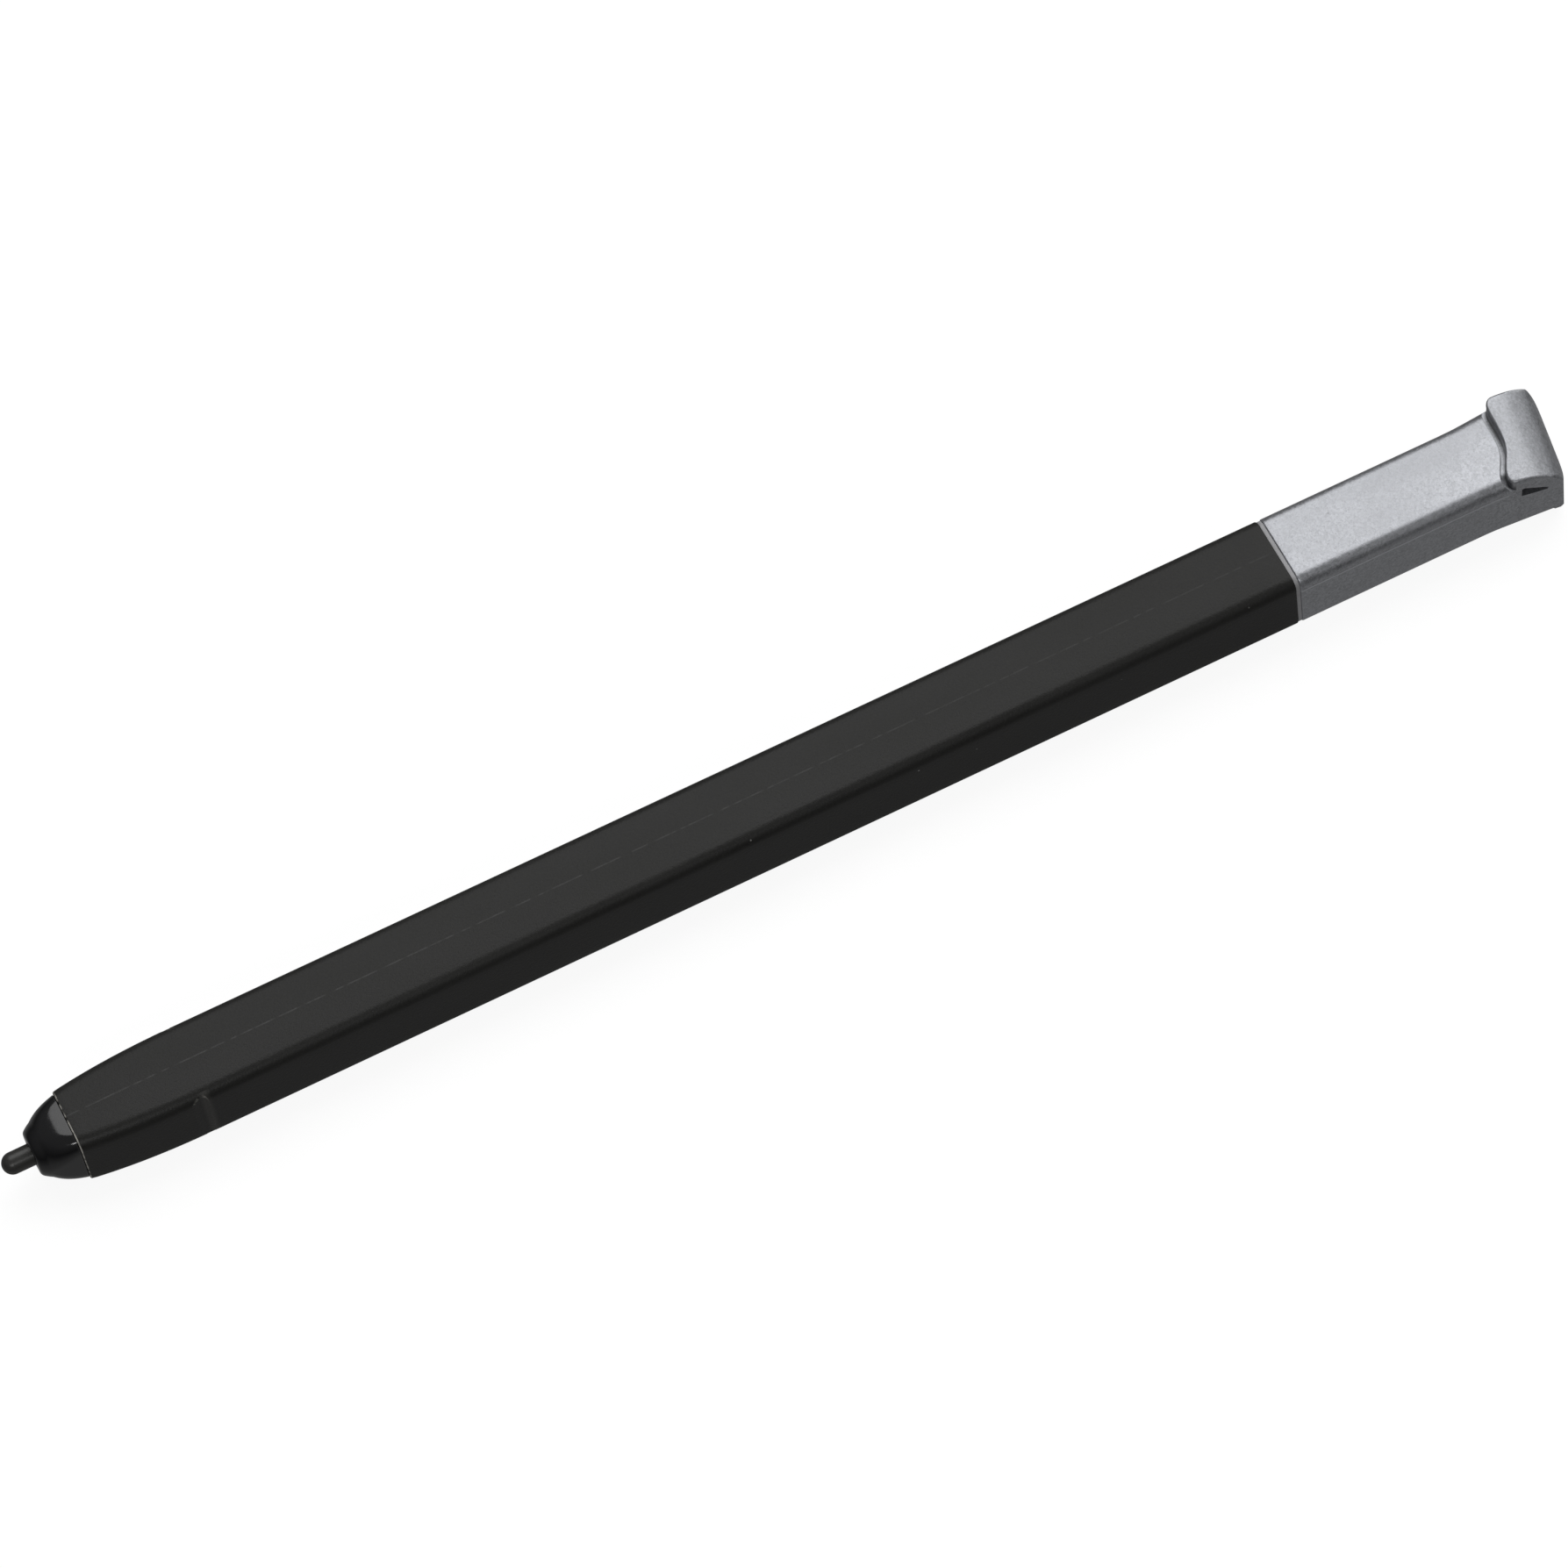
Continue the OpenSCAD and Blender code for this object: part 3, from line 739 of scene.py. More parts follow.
# The finish of each slot: its maker, the colour it takes, and its settings
FINISHES = {
    # The barrel's pale rims and groove walls are partly wear and partly a painted highlight
    "barrel_plastic": (moulded, "barrel", {
        "grain": 0.2, "vary": 0.2, "wear": 1.1, "specks": 0.12, "lines": True,
        "specular": 0.25, "wear_and_highlight_to": (0.62, 0.6, 0.55)}),
    "cone_plastic": (moulded, "gloss", {
        "rough": 0.13, "grain": 0.3, "depth": 0.0005, "vary": 0.05, "wear": 0.5,
        "specks": 0.05, "specular": 0.6}),
    "nib_plastic": (moulded, "nib", {
        "rough": 0.38, "depth": 0.003, "vary": 0.15, "specks": 0.2}),
    "insert_plastic": (moulded, "insert", {"rough": 0.4, "depth": 0.003, "wear": 0.1}),
    "silver_paint": (silver_paint, "silver", {}),
    "soft_rubber": (moulded, "rubber", {
        "rough": 0.75, "grain": 0.2, "depth": 0.02, "vary": 0.25}),
    "ferrite": (moulded, "ferrite", {
        "rough": 0.55, "grain": 0.07, "depth": 0.012, "vary": 0.3, "specular": 0.7}),
    "enamelled_copper": (enamelled, "copper", {}),
    "ivory_plastic": (moulded, "ivory", {"rough": 0.42, "grain": 0.15, "depth": 0.004}),
    "white_plastic": (moulded, "white", {
        "rough": 0.38, "grain": 0.15, "depth": 0.003, "vary": 0.04}),
    "spring_steel": (moulded, "steel", {
        "rough": 0.28, "grain": 0.05, "depth": 0.002, "vary": 0.1, "metal": 1.0}),
    "ceramic": (capacitor_finish, "ceramic", {}),
    "plain_ceramic": (moulded, "ceramic", {"rough": 0.3, "grain": 0.05, "depth": 0.002}),
    "contact_brass": (moulded, "brass", {
        "rough": 0.3, "grain": 0.08, "depth": 0.003, "vary": 0.12, "metal": 1.0}),
    "inner_plastic": (moulded, "inner", {"rough": 0.55, "vary": 0.15}),
    "board_laminate": (board_finish, "board", {}),
    "plunger_plastic": (moulded, "plunger", {"rough": 0.35, "depth": 0.004}),
}


def finish(slot):
    """The material of a slot, made the first time it is asked for. Its name differs from the
    slot's, which the frame's own plain material has."""
    name = "finished_" + slot
    if name in bpy.data.materials:
        return bpy.data.materials[name]
    maker, tone, settings = FINISHES[slot]
    return maker(name, getattr(bpy.context.scene.stylus_colours, tone), **settings)


# ---------------------------------------------------------------------------------------
# Outer pieces
# ---------------------------------------------------------------------------------------

# Sections, as width, height and corner radius: the barrel's outside at its front, and the
# hollow at its middle, near its front and at its mouth
BARREL_FRONT = (5.8 * MM, 6.2 * MM, 1.1 * MM)
WALL = 0.6 * MM
CAVITY = (PEN_W - 2 * WALL, PEN_H - 2 * WALL, 0.5 * MM)
THROAT = (5.2 * MM, 4.86 * MM, 0.6 * MM)
MOUTH = (4.5 * MM, 4.84 * MM, 1 * MM)
THROAT_END, MOUTH_END = 18 * MM, 9.4 * MM
# The side button's end radius, and half the distance between the centres of its ends
BUTTON_R, BUTTON_HALF = 1.5 * MM, 4.5 * MM


def barrel_surface(sizes):
    """The barrel as one closed skin: round its front rim, back along the outside, round the
    rear rim, and forward along the inside.

    The taper's width and height follow 1 - (1 - t)^2.3. The two grooves take a bite off the
    sides that deepens slowly, as 3t^2 - 2t^3, and ends in a steep wall. Rows lie closer
    together there.
    """
    deepens, climbs = (-1.2 * MM, -0.2 * MM), (-0.1 * MM, 0.3 * MM)
    taper_end = BARREL_START + sizes.taper
    x = np.unique(np.concatenate([
        np.linspace(BARREL_START + sizes.rim, taper_end, 25)[1:],
        np.linspace(taper_end, BARREL_END - sizes.rim, 44)[1:-1],
        sizes.groove_at + np.linspace(deepens[0], climbs[1] + 0.1 * MM, 33)]))
    t = np.clip((x - BARREL_START) / sizes.taper, 0, 1)
    ease = 1 - (1 - t) ** 2.3
    w, h, r = (mix(a, b, e) for a, b, e in
               zip(BARREL_FRONT, (PEN_W, PEN_H, sizes.corner), (ease, ease, t)))
    body = rings(np.stack([x, w, h, r], axis=1))
    off = body[..., 0] - sizes.groove_at
    bite = ramp(*deepens, off) * (1 - ramp(*climbs, off))
    edge = w[:, None] / 2 - sizes.groove_depth * bite
    body[..., 1] = np.clip(body[..., 1], -edge, edge)
    inside = np.concatenate([
        run(BARREL_END, THROAT_END, *CAVITY, 20), run(THROAT_END, MOUTH_END, *THROAT, 4),
        run(MOUTH_END, BARREL_START, *MOUTH, 3)])
    front_rim = round_edge(BARREL_START, *BARREL_FRONT, sizes.rim, 1)
    back_rim = round_edge(BARREL_END, PEN_W, PEN_H, sizes.corner, sizes.rim, -1)
    return np.concatenate([rings(front_rim), body, rings(back_rim), rings(inside)])


def slot_rings(rows, steps=16):
    """Slot outlines, upright under the button: each row is (half the straight length, end
    radius, height above the pen's axis)."""
    half, radius, z = np.asarray(rows, float).T[:, :, None]
    angle = np.linspace(-pi / 2, pi / 2, steps + 1)
    angle = np.concatenate([angle, angle + pi])
    side = np.repeat([1.0, -1.0], steps + 1)
    return np.stack([BUTTON_X + side * half + radius * np.cos(angle), radius * np.sin(angle),
                     z + 0 * angle], axis=-1)


def cone_surface():
    """The nose cone: a loft from a circle at its end face to a rounded square, a step down to
    the spigot that plugs into the barrel, and back through the bore.

    Its size follows 0.28 t + 0.72 (1 - (1 - t)^3).
    """
    start, rear = along("nose_cone")
    face, foot_w, foot_h = 3.53 * MM, 5.62 * MM, 6 * MM
    base, edge = BARREL_START - 0.02 * MM, 0.16 * MM
    bore, relief, bore_end = 1.92 * MM, 2.1 * MM, start + 5 * MM
    # The first rows lie close together, round the end face's edge
    t = np.concatenate([[0.0, 0.006, 0.02, 0.045], np.linspace(0.08, 1, 24)])
    swell = 0.28 * t + 0.72 * (1 - (1 - t) ** 3)
    w, h = (mix(face, size, swell) for size in (foot_w, foot_h))
    x = mix(start, base - 0.05 * MM, t)
    inset = edge - np.sqrt(edge ** 2 - np.clip(edge - (x - start), 0, edge) ** 2)
    w, h = w - 2 * inset, h - 2 * inset
    r = np.minimum(w / 2, mix(2.53 * MM, 1.33 * MM, t))
    loft = np.stack([x, w, h, r], axis=1)
    foot = [(base, w[-1] - 0.1 * MM, h[-1] - 0.1 * MM, r[-1])]
    spigot = np.concatenate([run(base, rear - 0.2 * MM, *MOUTH, 4),
                             [(rear, MOUTH[0] - 0.3 * MM, MOUTH[1] - 0.3 * MM, MOUTH[2])]])
    inner = [(rear, relief, relief, relief / 2), (bore_end, relief, relief, relief / 2),
             (bore_end, bore, bore, bore / 2), (start + 0.12 * MM, bore, bore, bore / 2),
             (start, bore + 0.2 * MM, bore + 0.2 * MM, bore / 2 + 0.1 * MM)]
    return rings(np.concatenate([loft, foot, spigot, inner]), ring_pattern(12, 8))


def nib_surface():
    """The nib: a ball end, a straight shank, a shoulder and the rod behind it. The ball's
    points are (r - r cos, r sin)."""
    end = along("nib")[1]
    r, rod, shoulder = np.ptp(span("nib"), axis=0)[1] / 2, 0.65 * MM, 6.4 * MM
    angle = np.linspace(0, pi / 2, 16)
    ball = np.stack([r - r * np.cos(angle), r * np.sin(angle)], axis=1)
    rest = [(2 * MM, r), (4 * MM, r), (shoulder - 0.1 * MM, r), (shoulder, r - 0.1 * MM),
            (shoulder, rod), (0.6 * shoulder + 0.4 * end, rod), (end - 0.1 * MM, rod),
            (end, rod - 0.1 * MM), (end, 0)]
    return turned(np.concatenate([ball, rest]), 72)


def plug_surface(sizes):
    """The insert that joins barrel and tail: a plug each way, with a thin flange between them
    that shows in the joint, and a bore right through."""
    start, end = along("tail_plug")
    hair, sunk, lead_in = 0.02 * MM, 0.08 * MM, 0.3 * MM
    plug = (CAVITY[0] - hair, CAVITY[1] - hair, CAVITY[2])
    flange = (PEN_W - 2 * sunk, PEN_H - 2 * sunk, sizes.corner - sunk)
    bore = np.ptp(span("tail_plug"), axis=0)[2] - 2.6 * MM
    return rings(np.concatenate([
        round_edge(start, *plug, lead_in, 1), [(BARREL_END, *plug)],
        round_edge(BARREL_END, *flange, 0.05 * MM, 1, 2),
        round_edge(CAP_START, *flange, 0.05 * MM, -1, 2), [(CAP_START, *plug)],
        round_edge(end, *plug, lead_in, -1), run(end, start, bore, bore, bore / 2, 4)]))


def tail_ring(w, top, bottom, top_r, bottom_r, split):
    """Outline of the tail at each row, from the middle of the far top edge round by the near
    side: two flats, four arcs, and sides divided at a fixed height. All in, as columns."""
    t = {n: np.arange(n) / n for n in (4, 6, 8, 16, 40)}
    arc = pi / 2 * t[8]
    top_y, low_y = w / 2 - top_r, w / 2 - bottom_r
    y = [mix(top_y, -top_y, t[40]), -top_y - top_r * np.sin(arc), -w / 2 + 0 * t[4],
         -w / 2 + 0 * t[6], -low_y - bottom_r * np.cos(arc), mix(-low_y, low_y, t[16]),
         low_y + bottom_r * np.sin(arc), w / 2 + 0 * t[6], w / 2 + 0 * t[4],
         top_y + top_r * np.cos(arc)]
    z = [top + 0 * t[40], top - top_r + top_r * np.cos(arc), mix(top - top_r, split, t[4]),
         mix(split, bottom + bottom_r, t[6]), bottom + bottom_r - bottom_r * np.sin(arc),
         bottom + 0 * t[16], bottom + bottom_r - bottom_r * np.cos(arc),
         mix(bottom + bottom_r, split, t[6]), mix(split, top - top_r, t[4]),
         top - top_r + top_r * np.sin(arc)]
    return np.concatenate(y, axis=1), np.concatenate(z, axis=1)


class TailShape:
    """Where the tail's hook and end lie, as functions of s, which runs from -1 at the near
    side to 1 at the far side."""

    turn, tilt = radians(9), radians(6)
    middle = PEN_END - 0.24 * MM
    front, sway, sway_at, sway_rate = PEN_END - 4.35 * MM, 0.82 * MM, -0.43, 2.6
    flare_start, flare_slope, flare_ease = PEN_END - 7.3 * MM, 0.5 / 6.2, 0.5 * MM
    # Height of the end's rearmost line above the underside, at the far side
    rearmost = 3.35 * MM
    # Length of the curve before the end, and its power, over and under that line
    over, under = (4.1 * MM, 0.41), (2 * MM, 0.36)

    def face(self, s):
        """The turned line that the side outline follows: straight in s."""
        return self.middle + tan(self.turn) * HALF_END * s

    def end(self, s):
        """The end seen from above: bowed, as s^2, with its two corners rounded off, as s^8,
        the far one more."""
        return self.face(s) - 0.3 * MM * s ** 2 - (0.3 + 0.15 * s) * MM * s ** 8

    def lip(self, s):
        """Front edge of the hook: an S, a hyperbolic tangent of s, further forward on the near
        side, and turned back at both sides, as s^12."""
        return (self.front - self.sway * (1 - np.tanh(self.sway_rate * (s - self.sway_at)))
                + 0.6 * MM * s ** 12)

    def width(self, x):
        """Straight sides that open into the flare along a hyperbola: the slope times the way
        past its start plus the root of that way squared plus the ease squared."""
        past = x - self.flare_start
        return PEN_W + self.flare_slope * (past + np.hypot(past, self.flare_ease))

    def outline(self, back, height, length, power):
        """A superellipse quarter, height (1 - u^1.4)^power: full height until length before
        the end, where u is 0, and nothing at the end, where u is 1."""
        u = np.clip(1 + back / length, 0, 1)
        return height * (1 - u ** 1.4) ** power

    def level(self, s):
        """Height of the end's rearmost line above the pen's axis, lower on the near side."""
        return self.rearmost - AXIS_Z - tan(self.tilt) * HALF_END * (1 - s)

    def top(self, x, s):
        """Height of the hook's top."""
        return self.level(s) + self.outline(x - self.face(s), CREST - self.level(1), *self.over)

    def bottom(self, x, s):
        """Height of the underside, which turns up at the end."""
        rise = self.outline(x - self.face(s), self.rearmost, *self.under)
        return np.maximum(self.level(s) - rise, -AXIS_Z)


def tail_surface(sizes):
    """The tail as one closed skin: cavity, front rim, body, gully, hook and end.

    Each row is an outline whose points lie at an x that depends on how far across they are,
    so that the rows follow the hook's S-shaped lip and the slanted end.
    """
    shape = TailShape()
    half, split = PEN_H / 2, 2.1 * MM
    edge, corner, rim = sizes.hook_edge, sizes.corner, sizes.rim
    cavity_end, straight_end = CAP_START + 8.1 * MM, shape.flare_start - 1.2 * MM
    # The gully's slope begins, and its floor begins and ends, this far in front of the lip
    slope_at, floor_at, slip = 0.45 * MM, 0.3 * MM, 0.03 * MM

    def outline_at(w, top, bottom, top_r, bottom_r):
        parts = (np.asarray(v, float).reshape(-1, 1) for v in (w, top, bottom, top_r, bottom_r))
        return tail_ring(*parts, split)

    def plain(stations):
        x, w, h, r = np.asarray(stations, float).T
        y, z = outline_at(w, h / 2, -h / 2, r, r)
        return np.stack([x[:, None] + 0 * y, y, z], axis=-1)

    rows = [plain(run(cavity_end, CAP_START, *CAVITY, 5)),
            plain(round_edge(CAP_START, PEN_W, PEN_H, corner, rim, 1)),
            plain(run(CAP_START + rim + 0.3 * MM, straight_end, PEN_W, PEN_H, corner, 14))]

    # Body rows that turn from straight across to the line of the lip
    y0, z0 = outline_at(PEN_W, half, -half, corner, corner)
    s0 = y0 / (PEN_W / 2)
    t = np.linspace(0, 1, 9)[1:, None]
    x = mix(straight_end, shape.lip(s0) - slope_at - slip, t)
    rows.append(np.stack([x, y0 * shape.width(x) / PEN_W, z0 + 0 * x], axis=-1))

    # Gully in front of the hook, nearly twice as deep at its near end
    floor_z = np.minimum(z0[0], half - sizes.gully * (1 + 0.9 * ramp(0.55, 0.9, -s0[0])))
    for before in (slope_at, floor_at, slip):
        x = shape.lip(s0[0]) - before
        rows.append(np.stack([x, y0[0] * shape.width(x) / PEN_W, floor_z], axis=-1)[None])

    # Hook: its front edge is rounded off, then its top falls away to the end
    y1, z1 = outline_at(PEN_W, CREST, -half, edge, corner)
    s1 = y1 / (PEN_W / 2)
    angle = np.linspace(0, pi / 2, 5)[:, None]
    q = 1 - (1 - np.linspace(0, 1, 30)[1:, None]) ** 1.7
    lip, end = shape.lip(s1), shape.end(s1)
    x = np.concatenate([lip + edge * (1 - np.cos(angle)), mix(lip + edge, end, q)])
    drop = np.concatenate([edge * (1 - np.sin(angle)), 0 * q])
    high, low = shape.top(x, s1) - drop, shape.bottom(x, s1)
    # The outline is stretched between top and underside about the split, or, where the top
    # has fallen below it, about the middle
    share = (z1 - split) / (CREST - split)
    under = (split - z1) / (split + half)
    z = np.where(z1 > split, split + share * (high - split), split - under * (split - low))
    middle, share = (high + low) / 2, (z1 - (CREST - half) / 2) / (CREST + half)
    z = np.where(high < split, middle + share * (high - low), z)
    hook = np.stack([x, y1 * shape.width(x) / PEN_W, z], axis=-1)
    seam = hook[-1:].copy()
    seam[..., 2] = middle[-1]
    return closed_ends(np.concatenate(rows + [hook, seam]))


def tether_slot():
    """The slot right through the hook: a slanted outline, carried across the pen. Its corners
    are measured from the pen's end and from the floor."""
    outline = np.array([(-4.9, 4.3), (-4.85, 5.25), (-4.65, 5.3), (-2.6, 4.2), (-2.7, 3.95)])
    x, z = PEN_END + outline[:, 0] * MM, outline[:, 1] * MM - AXIS_Z
    y = np.array([[-PEN_W], [PEN_W]])
    return closed_ends(np.stack([x + 0 * y, y + 0 * x, z + 0 * y], axis=-1))


class STYLUS_OT_barrel(bpy.types.Operator):
    """Build the barrel, with its taper, grooves and button opening"""

    bl_idname = "stylus.barrel"
    bl_label = "Barrel"

    def execute(self, context):
        sizes = context.scene.stylus_sizes
        low, gap = heights("side_button")[0], 0.15 * MM
        hole = slot_rings([(BUTTON_HALF, BUTTON_R + gap, low - 1 * MM),
                           (BUTTON_HALF, BUTTON_R + gap, low + 0.9 * MM)])
        add_piece("barrel_shell", [barrel_surface(sizes)], "casing", "barrel",
                  "barrel_plastic", loop=True, cutter=closed_ends(hole))
        return {"FINISHED"}


class STYLUS_OT_nose(bpy.types.Operator):
    """Build the nose cone and the nib"""

    bl_idname = "stylus.nose"
    bl_label = "Nose cone and nib"

    def execute(self, context):
        add_piece("nose_cone_shell", [cone_surface()], "casing", "nose_cone", "cone_plastic",
                  loop=True)
        add_piece("nib_point", [nib_surface()], "nib", "nib", "nib_plastic")
        return {"FINISHED"}


class STYLUS_OT_tail(bpy.types.Operator):
    """Build the tail with its hook, and the insert in its joint"""

    bl_idname = "stylus.tail"
    bl_label = "Tail"

    def execute(self, context):
        sizes = context.scene.stylus_sizes
        add_piece("joint_insert", [plug_surface(sizes)], "casing", "tail_plug",
                  "insert_plastic", loop=True)
        add_piece("tail_hook", [tail_surface(sizes)], "casing", "tail_cap", "silver_paint",
                  cutter=tether_slot())
        return {"FINISHED"}


# ---------------------------------------------------------------------------------------
# Inner pieces
# ---------------------------------------------------------------------------------------

def outer_radius(node):
    """Half of a round node's width."""
    return np.ptp(span(node), axis=0)[1] / 2


def heights(node):
    """Lowest and highest level of a node, from the pen's axis."""
    return span(node)[:, 2] - AXIS_Z


def bored(start, end, radius, bore, edge, steps=64):
    """A ring or sleeve with a bore and chamfered edges."""
    return turned([(start, bore + edge / 2), (start, radius - edge), (start + edge, radius),
                   (end - edge, radius), (end, radius - edge), (end, bore + edge / 2),
                   (end - edge / 2, bore), (start + edge / 2, bore)], steps)


def pin(start, end, radius, edge, steps=64):
    """A solid round pin or disc with chamfered edges."""
    return turned([(start, 0), (start, radius - edge), (start + edge, radius),
                   (end - edge, radius), (end, radius - edge), (end, 0)], steps)


class STYLUS_OT_button(bpy.types.Operator):
    """Build the side button and the plunger and dome of its switch"""

    bl_idname = "stylus.button"
    bl_label = "Side button and switch"

    def execute(self, context):
        sizes = context.scene.stylus_sizes
        low, high = heights("side_button")
        r, half = BUTTON_R, BUTTON_HALF
        # The face is a dish, 1 - k^2 deep; above it come the grip, the flange and the post
        face = [(half, k * r, low + sizes.dish * (1 - k ** 2)) for k in np.linspace(0, 0.88, 7)]
        wide, post, flange, flange_end = r + 0.45 * MM, 1.2 * MM, low + 0.65 * MM, low + 1.1 * MM
        grip = [(half, 0.96 * r, low + 0.04 * MM), (half, r, low + 0.16 * MM),
                (half, r, flange), (half, wide, flange), (half, wide, flange_end),
                (half, r * 0.9, flange_end), (0, post, flange_end),
                (0, post, high - 0.02 * MM), (0, post - 0.1 * MM, high), (0, 0, high)]
        add_piece("side_button_cap", [slot_rings(face + grip)], "button", "side_button",
                  "cone_plastic")
        low, high = heights("switch_plunger")
        radius = outer_radius("switch_plunger")
        plunger = upright(pin(low, high, radius, 0.1 * MM, 40), BUTTON_X, 0)
        add_piece("plunger_pin", [plunger], "button", "switch_plunger", "plunger_plastic")
        # The dome falls from its middle as k^2.4
        low, high = heights("switch_dome")
        k = np.linspace(0, 1, 14)
        radius, sheet = outer_radius("switch_dome"), 0.1 * MM
        over = np.stack([mix(high, low + sheet, k ** 2.4), radius * k], axis=1)
        below = over[::-1] - [sheet, 0]
        dome = upright(turned(np.concatenate([over, below]), 48), BUTTON_X, 0)
        add_piece("snap_dome", [dome], "casing", "switch_dome", "spring_steel")
        return {"FINISHED"}


class STYLUS_OT_coil(bpy.types.Operator):
    """Build the ferrite core with its winding, the two leads and the cushion in front"""

    bl_idname = "stylus.coil"
    bl_label = "Coil"

    def execute(self, context):
        turns = context.scene.stylus_sizes.turns
        cushion = bored(*along("cushion_ring"), outer_radius("cushion_ring"), 1.05 * MM,
                        0.14 * MM)
        add_piece("front_cushion", [cushion], "casing", "cushion_ring", "soft_rubber", loop=True)
        core = outer_radius("ferrite_core")
        sleeve = bored(*along("ferrite_core"), core, 0.8 * MM, 0.15 * MM)
        add_piece("ferrite_sleeve", [sleeve], "casing", "ferrite_core", "ferrite", loop=True)
        start, end = along("induction_coil")
        radius = outer_radius("induction_coil")
        wire = (end - start) / (turns + 1)
        t = np.linspace(0, 1, turns * 20 + 1)
        winding = helix(mix(start + wire / 2, end - wire / 2, t), 2 * pi * turns * t,
                        radius - wire / 2, wire * 0.97)
        below = radius - wire * 0.6
        base = turned([(start, core), (start, below), (end, below), (end, core), (start, core)])
        add_piece("wire_winding", [winding, base], "casing", "induction_coil",
                  "enamelled_copper")
        low, high = span("coil_leads") - [TIP, 0, AXIS_Z]
        r, bend = 0.12 * MM, 0.3 * MM
        side, level = high[1] - r, high[2] - r
        # Each lead comes out beside the core, rises to the board and turns down into it
        leads = [tube(eased_path([(low[0] + r, way * 1.3 * MM, 1 * MM),
                                  (low[0] + 0.68 * MM, way * side, level),
                                  (high[0] - r, way * side, level),
                                  (high[0] - r, way * side, low[2])], bend), r)
                 for way in (-1, 1)]
        add_piece("lead_wires", leads, "casing", "coil_leads", "enamelled_copper")
        return {"FINISHED"}


class STYLUS_OT_sensor(bpy.types.Operator):
    """Build the nib's holder, the pressure rubber, its return spring and the disc"""

    bl_idname = "stylus.sensor"
    bl_label = "Pressure sensor"

    def execute(self, context):
        start, end = along("nib_holder")
        r, neck, bore = outer_radius("nib_holder"), 1.25 * MM, 0.68 * MM
        step, deep = end - 0.6 * MM, start + 2.6 * MM
        holder = turned([(deep, 0), (deep, bore), (start + 0.15 * MM, bore),
                         (start, bore + 0.12 * MM), (start, r - 0.08 * MM),
                         (start + 0.08 * MM, r), (step - 0.05 * MM, r), (step, r - 0.05 * MM),
                         (step, neck), (end - 0.05 * MM, neck), (end, neck - 0.05 * MM),
                         (end, 0)])
        add_piece("nib_socket", [holder], "holder", "nib_holder", "white_plastic")
        start, end = along("pressure_rubber")
        r = outer_radius("pressure_rubber")
        angle = np.linspace(0, pi / 2, 12)
        tip = np.stack([end - r + r * np.sin(angle), r * np.cos(angle)], axis=1)
        rubber = turned(np.concatenate([[(start, 0), (start, r)], tip]))
        add_piece("rubber_dome", [rubber], "holder", "pressure_rubber", "soft_rubber")
        start, end = along("return_spring")
        wire, turns = 0.22 * MM, 6
        t = np.linspace(0, 1, turns * 32 + 1)
        # The first and last coils lie closed against the next
        rise = np.interp(t, [0, 0.13, 0.87, 1], [0, 0.06, 0.94, 1])
        spring = helix(mix(start + wire / 2, end - wire / 2, rise), 2 * pi * turns * t,
                       outer_radius("return_spring") - wire / 2, wire, 12)
        piece = add_piece("coil_spring", [spring], "casing", "return_spring", "spring_steel")
        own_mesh(piece)
        disc = pin(*along("dielectric_disc"), outer_radius("dielectric_disc"), 0.04 * MM)
        add_piece("ceramic_disc", [disc], "casing", "dielectric_disc", "ceramic",
                  "plain_ceramic")
        return {"FINISHED"}


class STYLUS_OT_board(bpy.types.Operator):
    """Build the circuit board, its chip capacitors and the trimmer"""

    bl_idname = "stylus.board"
    bl_label = "Circuit board"

    def execute(self, context):
        start, end = along("circuit_board")
        low, high = heights("circuit_board")
        section = (np.ptp(span("circuit_board"), axis=0)[1], high - low, 0.04 * MM)
        edge = 0.03 * MM
        slab = rings(np.concatenate([round_edge(start, *section, edge, 1, 1),
                                     run(start + 1 * MM, end - 1 * MM, *section, 12),
                                     round_edge(end, *section, edge, -1, 1)]),
                     ring_pattern(2, 8))
        slab = closed_ends(slab) + [0, 0, (low + high) / 2]
        add_piece("printed_board", [slab], "casing", "circuit_board", "board_laminate")
        low, high = heights("chip_capacitors")
        first, last = along("chip_capacitors")
        rows = np.arange(first, last - CHIP_LENGTH / 2, CHIP_PITCH) + CHIP_LENGTH / 2
        chips = [soft_block((x, y, (low + high) / 2), (CHIP_LENGTH, 0.8 * MM, high - low))
                 for x in rows for y in (-1.1 * MM, 1.1 * MM)]
        add_piece("chip_row", chips, "casing", "chip_capacitors", "ceramic")
        first, last = along("trimmer")
        low, high = heights("trimmer")
        width = np.ptp(span("trimmer"), axis=0)[1]
        middle, base = (first + last) / 2, low + 0.9 * MM
        block = soft_block((middle, 0, (low + base) / 2), (last - first, width, base - low),
                           14, 0.18)
        # Rotor: a polar grid whose top dips along a driver slot
        rotor_r = 1.3 * MM
        k = np.linspace(0, 1, 36)[:, None]
        angle = np.linspace(0, 2 * pi, 72, endpoint=False)
        x, y = rotor_r * k * np.cos(angle), rotor_r * k * np.sin(angle)
        slot = ((1 - ramp(0.15 * MM, 0.21 * MM, np.abs(y)))
                * (1 - ramp(0.95 * MM, 1.05 * MM, np.abs(x))))
        round_off = 0.08 * MM * ramp(0.9, 1, k)
        top = np.stack([middle + x, y, high - 0.3 * MM * slot - round_off], axis=-1)
        foot = top[-1:].copy()
        foot[..., 2] = base - 0.05 * MM
        foot_middle = foot * 0 + foot.mean(axis=1, keepdims=True)
        rotor = np.concatenate([top, foot, foot_middle])
        add_piece("trimmer_body", [block, rotor], "casing", "trimmer", "white_plastic")
        return {"FINISHED"}


